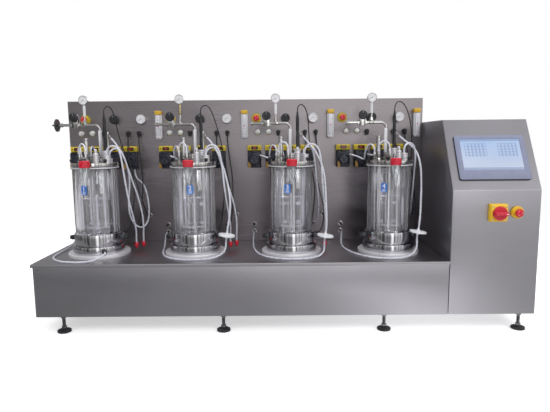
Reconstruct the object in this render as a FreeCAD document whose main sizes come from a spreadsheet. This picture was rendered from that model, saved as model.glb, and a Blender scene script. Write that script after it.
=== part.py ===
import FreeCAD, Part
import math
import os
import re

import Sketcher

# Bench bioreactor: four stirred glass vessels on one stainless bench base, with an upright
# instrument panel behind them and a control cabinet at the right-hand end. Millimetres.
# X runs to the right, Y to the back, Z up. The origin is the middle of the footprint,
# at the underside of the levelling feet.

doc = FreeCAD.newDocument("BenchBioreactor")
sheet = doc.addObject("Spreadsheet::Sheet", "Sizes")

BAYS = range(4)

SIZES = {
    # base, deck and panel
    "bay_pitch": "361",
    "bay_width": "361",
    "base_height": "191",
    "wall_sheet": "2",
    "deck_sheet": "3",
    "lip_overhang": "6",
    "lip_height": "12",
    "panel_setback": "384",
    "panel_height": "581",
    "panel_sheet": "3",
    "housing_depth": "115",
    # control cabinet
    "cabinet_width": "300",
    "cabinet_height": "675",
    "fold_height": "435",
    "slope_setback": "136",
    "bezel_width": "246",
    "bezel_height": "172",
    "bezel_proud": "8",
    "bezel_rise": "36",
    "screen_width": "206",
    "screen_height": "118",
    "screen_rise": "38",
    "screen_recess": "1.5",
    "switch_height": "359",
    "isolator_inset": "153",
    "isolator_side": "60",
    "isolator_proud": "20",
    "isolator_dial_radius": "24",
    "isolator_dial_proud": "9",
    "isolator_grip_proud": "17",
    "isolator_grip_width": "11",
    "isolator_grip_inset": "2",
    "stop_inset": "219",
    "stop_collar_radius": "21.5",
    "stop_collar_proud": "12",
    "stop_head_radius": "14.5",
    "stop_head_proud": "11",
    "stop_head_rim": "6.6",
    "stop_travel": "4",
    # clearances
    "running_gap": "0.05",
    "moving_gap": "0.3",
    "spindle_radius": "4",
    "spindle_length": "10",
    "stem_end_gap": "1",
    "edge_bevel": "2",
    # levelling feet
    "foot_height": "62",
    "pad_radius": "24",
    "pad_height": "12",
    "pad_rim": "7",
    "pad_crown_radius": "12",
    "stud_radius": "6",
    "foot_inset": "26",
    "foot_first": "86",
    "foot_spacing": "570",
    "foot_last": "257",
    # vessel, heights above the deck
    "vessel_back": "160",
    "seat_radius": "111",
    "seat_height": "13",
    "flange_radius": "93",
    "flange_height": "28",
    "waist_radius": "80",
    "waist_height": "3",
    "collar_radius": "86",
    "collar_height": "41",
    "pin_radius": "4",
    "pin_height": "18",
    "glass_radius": "78",
    "glass_height": "246",
    "outer_wall": "3.5",
    "jacket_gap": "5",
    "inner_wall": "4",
    "jacket_cap": "10",
    "jacket_slit": "1",
    "shoulder_radius": "7",
    "bead_proud": "0.8",
    "bead_height": "4",
    "ring_height": "4",
    "head_radius": "84",
    "head_height": "12",
    "bolt_circle": "81",
    "bolt_radius": "1.5",
    "bolt_count": "6",
    "bolt_first": "15",
    "bolt_knob_radius": "6",
    "bolt_knob_height": "14",
    # inside the vessel
    "cage_wall": "2.5",
    "cage_gap": "2",
    "cage_fin": "9",
    "cage_sheet": "2",
    "cage_ring_height": "3",
    "cage_foot": "24",
    "cage_mid": "132",
    "hub_radius": "12",
    "hub_height": "22",
    "shaft_radius": "5",
    "shaft_height": "150",
    "turbine_disc_radius": "25",
    "turbine_disc_sheet": "2",
    "turbine_radius": "33",
    "blade_height": "12",
    "blade_sheet": "1.5",
    "blade_length": "14",
    "blade_count": "6",
    "turbine_low": "34",
    "turbine_high": "108",
    # head plate fittings
    "port_plan_radius": "65.5",
    "dip_radius": "3",
    "port_foot": "8",
    "port_neck_radius": "5",
    "port_foot_flare": "3",
    "port_taper": "1",
    "condenser_radius": "8.5",
    "barb_radius": "3.6",
    "tall_across": "30",
    "tall_behind": "64",
    "arm_level": "445",
    "arm_length": "24",
    "tall_above_arm": "10",
    "plug_radius": "17",
    "plug_waist_radius": "13.6",
    "plug_crown_radius": "12",
    "plug_height": "28",
    "plug_waist": "11",
    "plug_shoulder": "22.5",
    "probe_radius": "6",
    "probe_nut_radius": "10",
    "probe_nut_height": "17",
    "probe_body_top": "505",
    "probe_top": "522",
    "probe_tip": "130",
    "probe_neck_radius": "3.2",
    "probe_across": "26",
    "probe_behind": "46",
    # exhaust line and its gauge
    "exhaust_behind": "70",
    "pipe_radius": "5",
    "pipe_bend": "20",
    "pipe_level": "481",
    "pipe_reach": "150",
    "pipe_end_radius": "7.5",
    "pipe_end_length": "10",
    "pipe_foot_radius": "10",
    "pipe_foot_height": "12",
    "valve_across": "90",
    "valve_side": "24",
    "valve_rise": "27",
    "valve_top": "12",
    "valve_knob_radius": "17",
    "valve_knob_height": "15",
    "tee_radius": "6.5",
    "tee_height": "15",
    "gauge_across": "55",
    "gauge_level": "573",
    "gauge_radius": "17.5",
    "gauge_depth": "20",
    "dial_recess": "1.5",
    "bezel_rim": "1.8",
    "stem_radius": "2.5",
    "stem_sleeve_radius": "5",
    "stem_sleeve_bottom": "515",
    "stem_into_case": "3",
    # sample bottle
    "cap_radius": "19",
    "cap_height": "24",
    "cap_above_glass": "22",
    "bottle_radius": "17",
    "bottle_height": "64",
    "bottle_wall": "1.8",
    # instrument panel, heights above the deck
    "pump_first": "37",
    "pump_pitch": "72",
    "pump_width": "54",
    "pump_body_height": "70",
    "pump_depth": "40",
    "pump_foot": "306",
    "rotor_cover_radius": "22",
    "rotor_cover_proud": "12",
    "fascia_height": "22",
    "fascia_depth": "24",
    "fascia_overlap": "1",
    "row_tightening": "12",
    "row_shift": "7",
    "rotameter_across": "346",
    "rotameter_foot": "426",
    "rotameter_width": "26",
    "rotameter_depth": "24",
    "rotameter_height": "113",
    "rotameter_bore_radius": "5",
    "rotameter_cap_height": "16",
    "upper_row": "507",
    "lower_row": "451",
    "station_across": "45",
    "station_collar_radius": "20",
    "station_collar_proud": "14",
    "station_button_radius": "12.5",
    "station_button_proud": "9",
    "station_button_rim": "5.4",
    "station_travel": "3",
    "regulator_across": "164",
    "regulator_radius": "17.5",
    "regulator_proud": "24",
    "dial_across": "275",
    "dial_radius": "19.5",
    "dial_depth": "20",
    "dome_first": "50",
    "dome_pitch": "45",
    "dome_radius": "12.5",
    "dome_proud": "13",
    "socket_radius": "8.5",
    "socket_proud": "22",
    "socket_boss_radius": "6",
    "socket_boss_drop": "15",
    "socket_rim": "1",
    "barb_across": "31",
    "barb_low": "41",
    "barb_high": "71",
    "panel_barb_radius": "6",
    "panel_barb_proud": "26",
    "panel_barb_flange_radius": "9.6",
    "panel_barb_flange": "5",
    "panel_barb_tip": "8",
    "return_across": "280",
    "return_level": "71",
    "probe_socket_across": "318",
    "probe_socket_level": "112",
    # couplings on the vessel base
    "coupling_radius": "9",
    "coupling_length": "22",
    "coupling_level": "64",
    "drain_level": "27",
    # filters and plugs on the hoses
    "filter_radius": "30",
    "filter_height": "6",
    "filter_hub_radius": "6",
    "filter_hub_height": "10",
    "filter_lean": "8",
    "vent_radius": "24",
    "vent_sheet": "8",
    "vent_stub": "14",
    "vent_stub_radius": "3",
    "tube_plug_radius": "8",
    "tube_plug_height": "22",
    "tube_plug_foot": "12",
    # stirrer drive below the deck
    "motor_radius": "36",
    "motor_height": "110",
    "motor_flange_radius": "52",
    "motor_flange_sheet": "8",
    # hoses and cables
    "hose_radius": "3.5",
    "feed_radius": "3.2",
    "head_tube_radius": "3",
    "probe_cable_radius": "2",
    "sensor_cable_radius": "2.4",
}

DERIVED = {
    "base_width": "bay_pitch * 4",
    "overall_depth": "panel_setback + panel_sheet + housing_depth",
    "isolator_reach": "isolator_proud + moving_gap + isolator_dial_proud + isolator_grip_proud",
    "base_left": "(lip_overhang - bay_pitch * 4 - cabinet_width) / 2",
    "front_face": "(isolator_reach - overall_depth) / 2",
    "deck_top": "foot_height + base_height",
    "cabinet_left": "base_left + base_width",
    "panel_face": "front_face + panel_setback",
    "slope_rise": "cabinet_height - fold_height",
    "slope_length": "sqrt(slope_setback * slope_setback + slope_rise * slope_rise)",
    "vessel_axis": "front_face + vessel_back",
    "flange_top": "seat_height + flange_height",
    "collar_foot": "flange_top + waist_height",
    "glass_foot": "collar_foot + collar_height",
    "glass_top": "glass_foot + glass_height",
    "bore_radius": "glass_radius - outer_wall - jacket_gap - inner_wall",
    "head_top": "glass_top + head_height",
    "ring_foot": "glass_top - bead_height - ring_height",
    "cage_radius": "bore_radius - cage_gap",
    "cap_front": "head_radius + cap_radius + moving_gap",
    "cap_top": "glass_top + cap_above_glass",
    "port_spread": "bore_radius / port_plan_radius",
    "bay_margin": "(bay_pitch - bay_width) / 2",
    "row_pitch": "bay_pitch - row_tightening",
    "row_start": "bay_margin + row_tightening * 1.5 + row_shift",
}

for row, (alias, content) in enumerate({**SIZES, **DERIVED}.items(), start=1):
    sheet.set(f"A{row}", alias)
    sheet.set(f"B{row}", "=" + content if alias in DERIVED else content)
    sheet.setAlias(f"B{row}", alias)
doc.recompute()

WORD = re.compile(r"[a-z][a-z_]+")
ALIASES = {**SIZES, **DERIVED}
FACING_FRONT = FreeCAD.Rotation(FreeCAD.Vector(1, 0, 0), 90)
UPRIGHT = FreeCAD.Rotation()

pieces = []


def qualified(expression):
    """The expression with each size's name pointing into the sheet."""
    return WORD.sub(lambda m: "Sizes." + m.group() if m.group() in ALIASES else m.group(), expression)


def size(expression):
    """The number that an expression of sizes comes to."""
    return float(sheet.evalExpression(str(expression)))


def bind(thing, **expressions):
    for name, expression in expressions.items():
        thing.setExpression(name, qualified(str(expression)))


def place(thing, spot, turn=UPRIGHT):
    """Puts a document object at three expressions, turned about its own origin."""
    thing.Placement = FreeCAD.Placement(FreeCAD.Vector(), turn)
    for name, expression in zip(("x", "y", "z"), spot, strict=True):
        thing.setExpression("Placement.Base." + name, qualified(str(expression)))
    return thing


def piece(thing, node):
    """Registers a finished sub-part under its node name."""
    thing.Label = node
    pieces.append(thing)
    return thing


def box(name, across, deep, tall, spot=("0", "0", "0"), turn=UPRIGHT):
    solid = doc.addObject("Part::Box", name)
    bind(solid, Length=across, Width=deep, Height=tall)
    return place(solid, spot, turn)


def rod(name, radius, length, spot=("0", "0", "0"), turn=UPRIGHT):
    solid = doc.addObject("Part::Cylinder", name)
    bind(solid, Radius=radius, Height=length)
    return place(solid, spot, turn)


def cut(name, base, tool):
    result = doc.addObject("Part::Cut", name)
    result.Base = base
    result.Tool = tool
    return result


def fuse(name, shapes):
    result = doc.addObject("Part::MultiFuse", name)
    result.Shapes = shapes
    return result


def copies(node, source, spots, turns=None):
    """One sub-part made of equal solids: a linked copy of the source at each spot."""
    links = []
    for i, spot in enumerate(spots):
        link = doc.addObject("App::Link", f"{node}_at_{i}")
        link.LinkedObject = source
        links.append(place(link, spot, turns[i] if turns else UPRIGHT))
    group = doc.addObject("Part::Compound", node + "_group")
    group.Links = links
    return piece(group, node)


def plane_of(body, role):
    return next(f for f in body.Origin.OriginFeatures if f.Role == role)


def sketch_on(body, role, name):
    sketch = body.newObject("Sketcher::SketchObject", name)
    sketch.AttachmentSupport = [(plane_of(body, role), "")]
    sketch.MapMode = "FlatFace"
    return sketch


def pin_point(sketch, geometry, position, across, up):
    """Fixes one point of a sketch at two expressions, on an axis where one is nought."""
    for kind, expression, axis in (("DistanceX", across, -2), ("DistanceY", up, -1)):
        if expression == "0":
            sketch.addConstraint(Sketcher.Constraint("PointOnObject", geometry, position, axis))
            continue
        number = sketch.addConstraint(
            Sketcher.Constraint(kind, -1, 1, geometry, position, size(expression))
        )
        sketch.setExpression(f"Constraints[{number}]", qualified(expression))


def outline(sketch, corners):
    """Draws a closed outline of straight lines through corners given as expressions."""
    first = sketch.GeometryCount
    spots = [FreeCAD.Vector(size(a), size(b), 0) for a, b in corners]
    count = len(corners)
    for i in range(count):
        sketch.addGeometry(Part.LineSegment(spots[i], spots[(i + 1) % count]))
    for i in range(count):
        following = first + (i + 1) % count
        sketch.addConstraint(Sketcher.Constraint("Coincident", first + i, 2, following, 1))
    for i, (across, up) in enumerate(corners):
        pin_point(sketch, first + i, 1, across, up)


def circle(sketch, across, up, radius):
    centre = FreeCAD.Vector(size(across), size(up), 0)
    drawn = sketch.addGeometry(Part.Circle(centre, FreeCAD.Vector(0, 0, 1), size(radius)))
    number = sketch.addConstraint(Sketcher.Constraint("Radius", drawn, size(radius)))
    sketch.setExpression(f"Constraints[{number}]", qualified(radius))
    pin_point(sketch, drawn, 3, across, up)


def turned(name, corners):
    """A body turned about its own Z axis from an outline of (radius, height) corners."""
    body = doc.addObject("PartDesign::Body", name)
    sketch = sketch_on(body, "XZ_Plane", name + "_outline")
    outline(sketch, corners)
    turning = body.newObject("PartDesign::Revolution", name + "_turning")
    turning.Profile = sketch
    turning.ReferenceAxis = (sketch, ["V_Axis"])
    turning.Angle = 360
    return body


def sheet_body(name, role, corners, thick):
    """A body padded from an outline drawn on one of its own planes."""
    body = doc.addObject("PartDesign::Body", name)
    sketch = sketch_on(body, role, name + "_outline")
    outline(sketch, corners)
    pad = body.newObject("PartDesign::Pad", name + "_pad")
    pad.Profile = sketch
    bind(pad, Length=thick)
    return body


def holes(body, name, circles):
    """Cuts round holes, given as (across, up, radius), right through a body."""
    sketch = sketch_on(body, "XY_Plane", name + "_circles")
    for across, up, radius in circles:
        circle(sketch, across, up, radius)
    doc.recompute()
    pocket = body.newObject("PartDesign::Pocket", name)
    pocket.Profile = sketch
    pocket.Type = "ThroughAll"
    pocket.Reversed = True
    return pocket


def ring_of(body, feature, count):
    """Repeats a feature evenly about the body's own Z axis."""
    pattern = body.newObject("PartDesign::PolarPattern", feature.Name + "_ring")
    pattern.Originals = [feature]
    pattern.Axis = (plane_of(body, "Z_Axis"), [""])
    pattern.Angle = 360
    bind(pattern, Occurrences=count)
    body.Tip = pattern


def rounded(body, name, radius, wanted):
    """Rounds the edges of a body's last feature that a test picks."""
    doc.recompute()
    base = body.Tip
    edges = [f"Edge{i}" for i, e in enumerate(base.Shape.Edges, start=1) if wanted(e)]
    fillet = body.newObject("PartDesign::Fillet", name)
    fillet.Base = (base, edges)
    bind(fillet, Radius=radius)


def ring_edge_at(radius, height):
    """A test for the round edges of one radius and height on a turned body."""

    def test(edge):
        curve = edge.Curve
        return (
            isinstance(curve, Part.Circle)
            and abs(curve.Radius - size(radius)) < 0.01
            and abs(edge.BoundBox.ZMin - size(height)) < 0.01
        )

    return test


def bay(i, across):
    """X of a place in bay i, from the left edge of its row of instruments."""
    return f"base_left + bay_pitch * {i} + bay_margin + {across}"


def at_vessel(i, across="0", behind="0", level="0"):
    """A place given from vessel i's axis and the deck."""
    return (
        f"base_left + bay_pitch * ({i} + 0.5) + {across}",
        f"vessel_axis + {behind}",
        f"deck_top + {level}",
    )


def on_panel(i, across, level):
    """A place on the face of the instrument panel in bay i."""
    return (bay(i, across), "panel_face", f"deck_top + {level}")


def on_row(i, across, level):
    """A place on the panel's upper row, whose instruments stand a little closer than the bays."""
    return (f"base_left + row_start + row_pitch * {i} + {across}", "panel_face", f"deck_top + {level}")


def in_all_bays(spot, *args):
    return [spot(i, *args) for i in BAYS]


# Base housing, deck, panel and rear housing


def build_base():
    outer = box("base_outer", "base_width", "overall_depth", "base_height - deck_sheet")
    inner = box(
        "base_hollow",
        "base_width - 2 * wall_sheet",
        "overall_depth - 2 * wall_sheet",
        "base_height",
        ("wall_sheet", "wall_sheet", "wall_sheet"),
    )
    housing = cut("base_shell", outer, inner)
    place(housing, ("base_left", "front_face", "foot_height"))
    piece(housing, "base_housing")


def build_deck():
    """The deck sheet with a lip turned down along its front and left edges."""
    skin = box("deck_skin", "base_width + lip_overhang", "overall_depth + lip_overhang", "lip_height")
    under = box(
        "deck_under",
        "base_width + lip_overhang",
        "overall_depth + lip_overhang",
        "lip_height",
        ("deck_sheet", "deck_sheet", "-deck_sheet"),
    )
    deck = cut("deck_tray", skin, under)
    place(deck, ("base_left - lip_overhang", "front_face - lip_overhang", "deck_top - lip_height"))
    piece(deck, "deck_plate")


def build_panel():
    """The upright instrument panel, bored for the regulator spindles."""
    body = sheet_body(
        "panel",
        "XY_Plane",
        [("0", "0"), ("base_width", "0"), ("base_width", "panel_height"), ("0", "panel_height")],
        "panel_sheet",
    )
    first = holes(
        body,
        "spindle_hole",
        [("row_start + regulator_across", "upper_row", "spindle_radius + running_gap")],
    )
    row = body.newObject("PartDesign::LinearPattern", "spindle_holes")
    row.Originals = [first]
    row.Direction = (plane_of(body, "X_Axis"), [""])
    row.Occurrences = len(BAYS)
    bind(row, Length="row_pitch * 3")
    body.Tip = row
    place(body, ("base_left", "panel_face + panel_sheet", "deck_top"), FACING_FRONT)
    piece(body, "instrument_panel")


def build_rear_housing():
    outer = box("rear_outer", "base_width", "housing_depth", "panel_height")
    inner = box(
        "rear_hollow",
        "base_width - 2 * wall_sheet",
        "housing_depth",
        "panel_height - 2 * wall_sheet",
        ("wall_sheet", "-wall_sheet", "wall_sheet"),
    )
    housing = cut("rear_shell", outer, inner)
    place(housing, ("base_left", "panel_face + panel_sheet", "deck_top"))
    piece(housing, "rear_housing")


# Control cabinet


def build_cabinet():
    """A folded cabinet with a sloping upper front, open at the back."""
    profile = [
        ("0", "0"),
        ("overall_depth", "0"),
        ("overall_depth", "cabinet_height"),
        ("slope_setback", "cabinet_height"),
        ("0", "fold_height"),
    ]
    body = sheet_body("cabinet", "YZ_Plane", profile, "cabinet_width")
    doc.recompute()
    block = body.Tip
    faces = block.Shape.Faces
    back = max(range(len(faces)), key=lambda i: faces[i].CenterOfMass.y)
    shell = body.newObject("PartDesign::Thickness", "cabinet_walls")
    shell.Base = (block, [f"Face{back + 1}"])
    shell.Reversed = True
    bind(shell, Value="wall_sheet")
    place(body, ("cabinet_left", "front_face", "foot_height"))
    piece(body, "control_cabinet")

    cover = box(
        "cabinet_cover",
        "cabinet_width - 2 * wall_sheet - 2 * moving_gap",
        "wall_sheet",
        "cabinet_height - 2 * wall_sheet - 2 * moving_gap",
        (
            "cabinet_left + wall_sheet + moving_gap",
            "front_face + overall_depth - wall_sheet",
            "foot_height + wall_sheet + moving_gap",
        ),
    )
    piece(cover, "cabinet_back_cover")


def on_slope(across, along, proud):
    """A place on the sloping front: across the cabinet, up the slope, and out from it."""
    out_front = f"slope_rise / slope_length * ({proud})"
    out_up = f"slope_setback / slope_length * ({proud})"
    return (
        f"cabinet_left + {across}",
        f"front_face + slope_setback / slope_length * ({along}) - {out_front}",
        f"foot_height + fold_height + slope_rise / slope_length * ({along}) + {out_up}",
    )


def build_touchscreen():
    """The bezel stands on the slope and the glass lies in its window."""
    lean = math.degrees(math.atan2(size("slope_setback"), size("slope_rise")))
    leaning = FreeCAD.Rotation(FreeCAD.Vector(1, 0, 0), 90 - lean)
    body = sheet_body(
        "bezel",
        "XY_Plane",
        [
            ("0", "0"),
            ("bezel_width", "0"),
            ("bezel_width", "bezel_height"),
            ("0", "bezel_height"),
        ],
        "bezel_proud",
    )
    window = sketch_on(body, "XY_Plane", "window_outline")
    left = "(bezel_width - screen_width) / 2"
    right = "(bezel_width + screen_width) / 2"
    top = "screen_rise + screen_height"
    outline(
        window, [(left, "screen_rise"), (right, "screen_rise"), (right, top), (left, top)]
    )
    doc.recompute()
    opening = body.newObject("PartDesign::Pocket", "window")
    opening.Profile = window
    opening.Type = "ThroughAll"
    opening.Reversed = True
    bezel_left = "(cabinet_width - bezel_width) / 2"
    place(body, on_slope(bezel_left, "bezel_rise", "0"), leaning)
    piece(body, "touchscreen_bezel")

    glass = box("screen", "screen_width", "screen_height", "bezel_proud - screen_recess")
    spot = on_slope("(cabinet_width - screen_width) / 2", "bezel_rise + screen_rise", "0")
    place(glass, spot, leaning)
    piece(glass, "touchscreen_glass")


def build_isolator():
    """The main switch: a square plate and a turning dial with a bar grip."""
    spindle_bore = "spindle_radius + running_gap"
    plate = box("isolator_block", "isolator_side", "isolator_side", "isolator_proud")
    place(plate, ("-isolator_side / 2", "-isolator_side / 2", "0"))
    floor = "isolator_proud - spindle_length"
    bore = rod("isolator_bore", spindle_bore, "isolator_proud", ("0", "0", floor))
    body = cut("isolator_bored", plate, bore)
    spot = ("cabinet_left + isolator_inset", "front_face", "foot_height + switch_height")
    place(body, spot, FACING_FRONT)
    piece(body, "isolator_plate")

    dial = turned(
        "dial",
        [
            ("0", "-spindle_length + moving_gap"),
            ("spindle_radius", "-spindle_length + moving_gap"),
            ("spindle_radius", "moving_gap"),
            ("isolator_dial_radius", "moving_gap"),
            ("isolator_dial_radius", "moving_gap + isolator_dial_proud"),
            ("0", "moving_gap + isolator_dial_proud"),
        ],
    )
    grip = box(
        "grip",
        "2 * (isolator_dial_radius - isolator_grip_inset)",
        "isolator_grip_width",
        "isolator_grip_proud",
        (
            "isolator_grip_inset - isolator_dial_radius",
            "-isolator_grip_width / 2",
            "moving_gap + isolator_dial_proud",
        ),
    )
    knob = fuse("dial_and_grip", [dial, grip])
    place(knob, (spot[0], "front_face - isolator_proud", spot[2]), FACING_FRONT)
    piece(knob, "isolator_knob")


def mushroom(name, kind, travel, collar_proud):
    """A push button: a domed head on a stem, origin at the face of its collar."""
    head_radius, head_rim, head_proud = f"{kind}_radius", f"{kind}_rim", f"{kind}_proud"
    stem = f"{travel} + stem_end_gap - {collar_proud}"
    return turned(
        name,
        [
            ("0", stem),
            ("spindle_radius", stem),
            ("spindle_radius", f"{travel} + moving_gap"),
            (head_radius, f"{travel} + moving_gap"),
            (head_radius, f"{travel} + {head_rim}"),
            (f"{head_radius} - edge_bevel * 1.5", f"{travel} + {head_proud}"),
            ("0", f"{travel} + {head_proud}"),
        ],
    )


def collar(name, radius, proud):
    """The ring that a push button's stem slides in."""
    bore = "spindle_radius + running_gap"
    return turned(
        name,
        [
            (bore, "0"),
            (radius, "0"),
            (radius, f"{proud} - edge_bevel * 2"),
            (f"{radius} - edge_bevel", proud),
            (bore, proud),
        ],
    )


def build_stop():
    spot = ("cabinet_left + stop_inset", "front_face", "foot_height + switch_height")
    ring = collar("stop_ring", "stop_collar_radius", "stop_collar_proud")
    place(ring, spot, FACING_FRONT)
    piece(ring, "stop_collar")
    button = mushroom("stop_mushroom", "stop_head", "stop_travel", "stop_collar_proud")
    place(button, (spot[0], "front_face - stop_collar_proud", spot[2]), FACING_FRONT)
    piece(button, "stop_button")


def build_feet():
    foot = turned(
        "foot",
        [
            ("0", "0"),
            ("pad_radius", "0"),
            ("pad_radius", "pad_rim"),
            ("pad_crown_radius", "pad_height"),
            ("stud_radius", "pad_height"),
            ("stud_radius", "foot_height"),
            ("0", "foot_height"),
        ],
    )
    across = [f"base_left + foot_first + foot_spacing * {k}" for k in range(3)]
    across.append("cabinet_left + foot_last")
    rows = ["front_face + foot_inset", "front_face + overall_depth - foot_inset"]
    copies("levelling_feet", foot, [(x, y, "0") for x in across for y in rows])


# Vessels


def build_vessel_base():
    seat = turned(
        "seat",
        [("0", "0"), ("seat_radius", "0"), ("seat_radius", "seat_height"), ("0", "seat_height")],
    )
    rounded(seat, "seat_round", "seat_height / 3", ring_edge_at("seat_radius", "seat_height"))
    copies("seat_discs", seat, in_all_bays(at_vessel))

    base = turned(
        "base",
        [
            ("0", "seat_height"),
            ("flange_radius", "seat_height"),
            ("flange_radius", "flange_top"),
            ("waist_radius", "flange_top"),
            ("waist_radius", "collar_foot"),
            ("collar_radius", "collar_foot"),
            ("collar_radius", "glass_foot"),
            ("pin_radius", "glass_foot"),
            ("pin_radius", "glass_foot + pin_height"),
            ("0", "glass_foot + pin_height"),
        ],
    )
    copies("vessel_bases", base, in_all_bays(at_vessel))


def build_glass():
    """A jacketed glass cylinder: two walls joined at the rim, with a rounded outer foot."""
    jacket_inside = "glass_radius - outer_wall"
    inner_outside = "bore_radius + inner_wall"
    glass = turned(
        "glass",
        [
            ("bore_radius", "glass_foot"),
            (inner_outside, "glass_foot"),
            (inner_outside, "glass_top - jacket_cap"),
            (jacket_inside, "glass_top - jacket_cap"),
            (jacket_inside, "glass_foot + outer_wall * 2"),
            (f"{inner_outside} + jacket_slit", "glass_foot + outer_wall"),
            (f"{inner_outside} + jacket_slit", "glass_foot"),
            ("glass_radius", "glass_foot"),
            ("glass_radius", "glass_top - bead_height"),
            ("glass_radius + bead_proud", "glass_top - bead_height"),
            ("glass_radius + bead_proud", "glass_top"),
            ("bore_radius", "glass_top"),
        ],
    )
    rounded(glass, "shoulder", "shoulder_radius", ring_edge_at("glass_radius", "glass_foot"))
    copies("vessel_glasses", glass, in_all_bays(at_vessel))


def build_clamping():
    """The ring under the glass bead, the head plate on it, and the knobbed bolts between them."""
    hole = ("bolt_circle * cos(bolt_first)", "bolt_circle * sin(bolt_first)", "bolt_radius + running_gap")
    ring = turned(
        "ring",
        [
            ("glass_radius + moving_gap", "ring_foot"),
            ("head_radius", "ring_foot"),
            ("head_radius", "ring_foot + ring_height"),
            ("glass_radius + moving_gap", "ring_foot + ring_height"),
        ],
    )
    ring_of(ring, holes(ring, "ring_hole", [hole]), "bolt_count")
    copies("clamp_rings", ring, in_all_bays(at_vessel))

    head = turned(
        "head",
        [("0", "glass_top"), ("head_radius", "glass_top"), ("head_radius", "head_top"), ("0", "head_top")],
    )
    ring_of(head, holes(head, "bolt_hole", [hole]), "bolt_count")
    bores = [(*spread(x, y), "dip_radius + running_gap") for x, y, _, _, _ in PORTS]
    bores.append((*spread("probe_across", "probe_behind"), "probe_radius + running_gap"))
    holes(head, "port_bores", bores)
    copies("head_plates", head, in_all_bays(at_vessel))

    bolt = turned(
        "bolt",
        [
            ("0", "ring_foot"),
            ("bolt_radius", "ring_foot"),
            ("bolt_radius", "head_top"),
            ("bolt_knob_radius", "head_top"),
            ("bolt_knob_radius", "head_top + bolt_knob_height"),
            ("0", "head_top + bolt_knob_height"),
        ],
    )
    count = int(size("bolt_count"))
    spots = []
    for i in BAYS:
        for k in range(count):
            turn = f"bolt_first + 360 / bolt_count * {k}"
            spots.append(at_vessel(i, f"bolt_circle * cos({turn})", f"bolt_circle * sin({turn})"))
    copies("clamp_bolts", bolt, spots)


# Direction of the tall port's side arm, which slopes down to the right and the front.
ARM_AIM = (0.683, -0.348, -0.643)

# Ports in the head plate: across and behind the axis, height, neck radius, dip tube length.
# Their plan is drawn for a vessel of port_plan_radius and spreads with the vessel's bore.
PORTS = [
    ("-45", "-27", "40", "port_neck_radius", "190"),
    ("-12", "-56", "40", "port_neck_radius", "60"),
    ("22", "-49", "50", "port_neck_radius", "60"),
    ("49", "-14", "28", "port_neck_radius", "120"),
    ("-53", "8", "28", "port_neck_radius", "90"),
    ("46", "24", "17", "port_neck_radius", "140"),
    ("-30", "44", "28", "port_neck_radius", "195"),
    ("-37", "21", "88", "condenser_radius", "90"),
]


def spread(across, behind):
    """A port's place in the plan, spread to the vessel's bore."""
    return f"{across} * port_spread", f"{behind} * port_spread"


def build_ports():
    """Hose ports on round feet, each with its dip tube, a tall port with a side arm,
    and the closed centre port."""
    fittings = []
    for k, (across, behind, tall, neck, dip) in enumerate(PORTS):
        fitting = turned(
            f"port_{k}",
            [
                ("0", f"glass_top - {dip}"),
                ("dip_radius", f"glass_top - {dip}"),
                ("dip_radius", "head_top"),
                (f"{neck} + port_foot_flare", "head_top"),
                (f"{neck} + port_foot_flare", "head_top + port_foot"),
                (neck, "head_top + port_foot"),
                (neck, f"head_top + {tall} - edge_bevel"),
                (f"{neck} - port_taper", f"head_top + {tall}"),
                ("0", f"head_top + {tall}"),
            ],
        )
        fittings.append((fitting, *spread(across, behind)))
    stalk_height = "arm_level + tall_above_arm - head_top"
    stalk = rod("tall_stalk", "port_neck_radius", stalk_height, ("0", "0", "head_top"))
    flare = "port_neck_radius + port_foot_flare"
    foot = rod("tall_foot", flare, "port_foot", ("0", "0", "head_top"))
    aim = FreeCAD.Rotation(FreeCAD.Vector(0, 0, 1), FreeCAD.Vector(*ARM_AIM))
    arm = rod("side_arm", "barb_radius", "arm_length", ("0", "0", "arm_level"), aim)
    fittings.append((fuse("tall_port", [stalk, foot, arm]), "tall_across", "tall_behind"))
    plug = turned(
        "centre_port",
        [
            ("0", "head_top"),
            ("plug_waist_radius", "head_top"),
            ("plug_waist_radius", "head_top + plug_waist"),
            ("plug_radius", "head_top + plug_waist"),
            ("plug_radius", "head_top + plug_shoulder"),
            ("plug_crown_radius", "head_top + plug_height"),
            ("0", "head_top + plug_height"),
        ],
    )
    fittings.append((plug, "0", "0"))
    links = []
    for i in BAYS:
        for fitting, across, behind in fittings:
            link = doc.addObject("App::Link", f"{fitting.Name}_in_{i}")
            link.LinkedObject = fitting
            links.append(place(link, at_vessel(i, across, behind)))
    group = doc.addObject("Part::Compound", "head_ports_group")
    group.Links = links
    piece(group, "head_ports")


FINS = 4


def place_radially(plate, bearing, reach, thick, level):
    """Stands an upright plate on a line through the Z axis, starting at a radius."""
    along, aside = f"cos({bearing})", f"sin({bearing})"
    spot = (
        f"{reach} * {along} + {thick} / 2 * {aside}",
        f"{reach} * {aside} - {thick} / 2 * {along}",
        level,
    )
    return place(plate, spot, FreeCAD.Rotation(FreeCAD.Vector(0, 0, 1), bearing))


def build_cage():
    """Four baffle fins hung from the head plate and tied by two rings."""
    fins = []
    for k in range(FINS):
        fin = box(f"fin_{k}", "cage_fin", "cage_sheet", "glass_height - cage_foot")
        bearing = 180 / FINS + 360 / FINS * k
        reach = "(cage_radius - cage_wall / 2 - cage_fin)"
        fins.append(place_radially(fin, bearing, reach, "cage_sheet", "glass_foot + cage_foot"))
    rings = []
    for k, level in enumerate(("cage_foot", "cage_mid")):
        rings.append(
            turned(
                f"cage_ring_{k}",
                [
                    ("cage_radius - cage_wall", f"glass_foot + {level}"),
                    ("cage_radius", f"glass_foot + {level}"),
                    ("cage_radius", f"glass_foot + {level} + cage_ring_height"),
                    ("cage_radius - cage_wall", f"glass_foot + {level} + cage_ring_height"),
                ],
            )
        )
    cage = fuse("cage", fins + rings)
    copies("baffle_cages", cage, in_all_bays(at_vessel))


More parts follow.
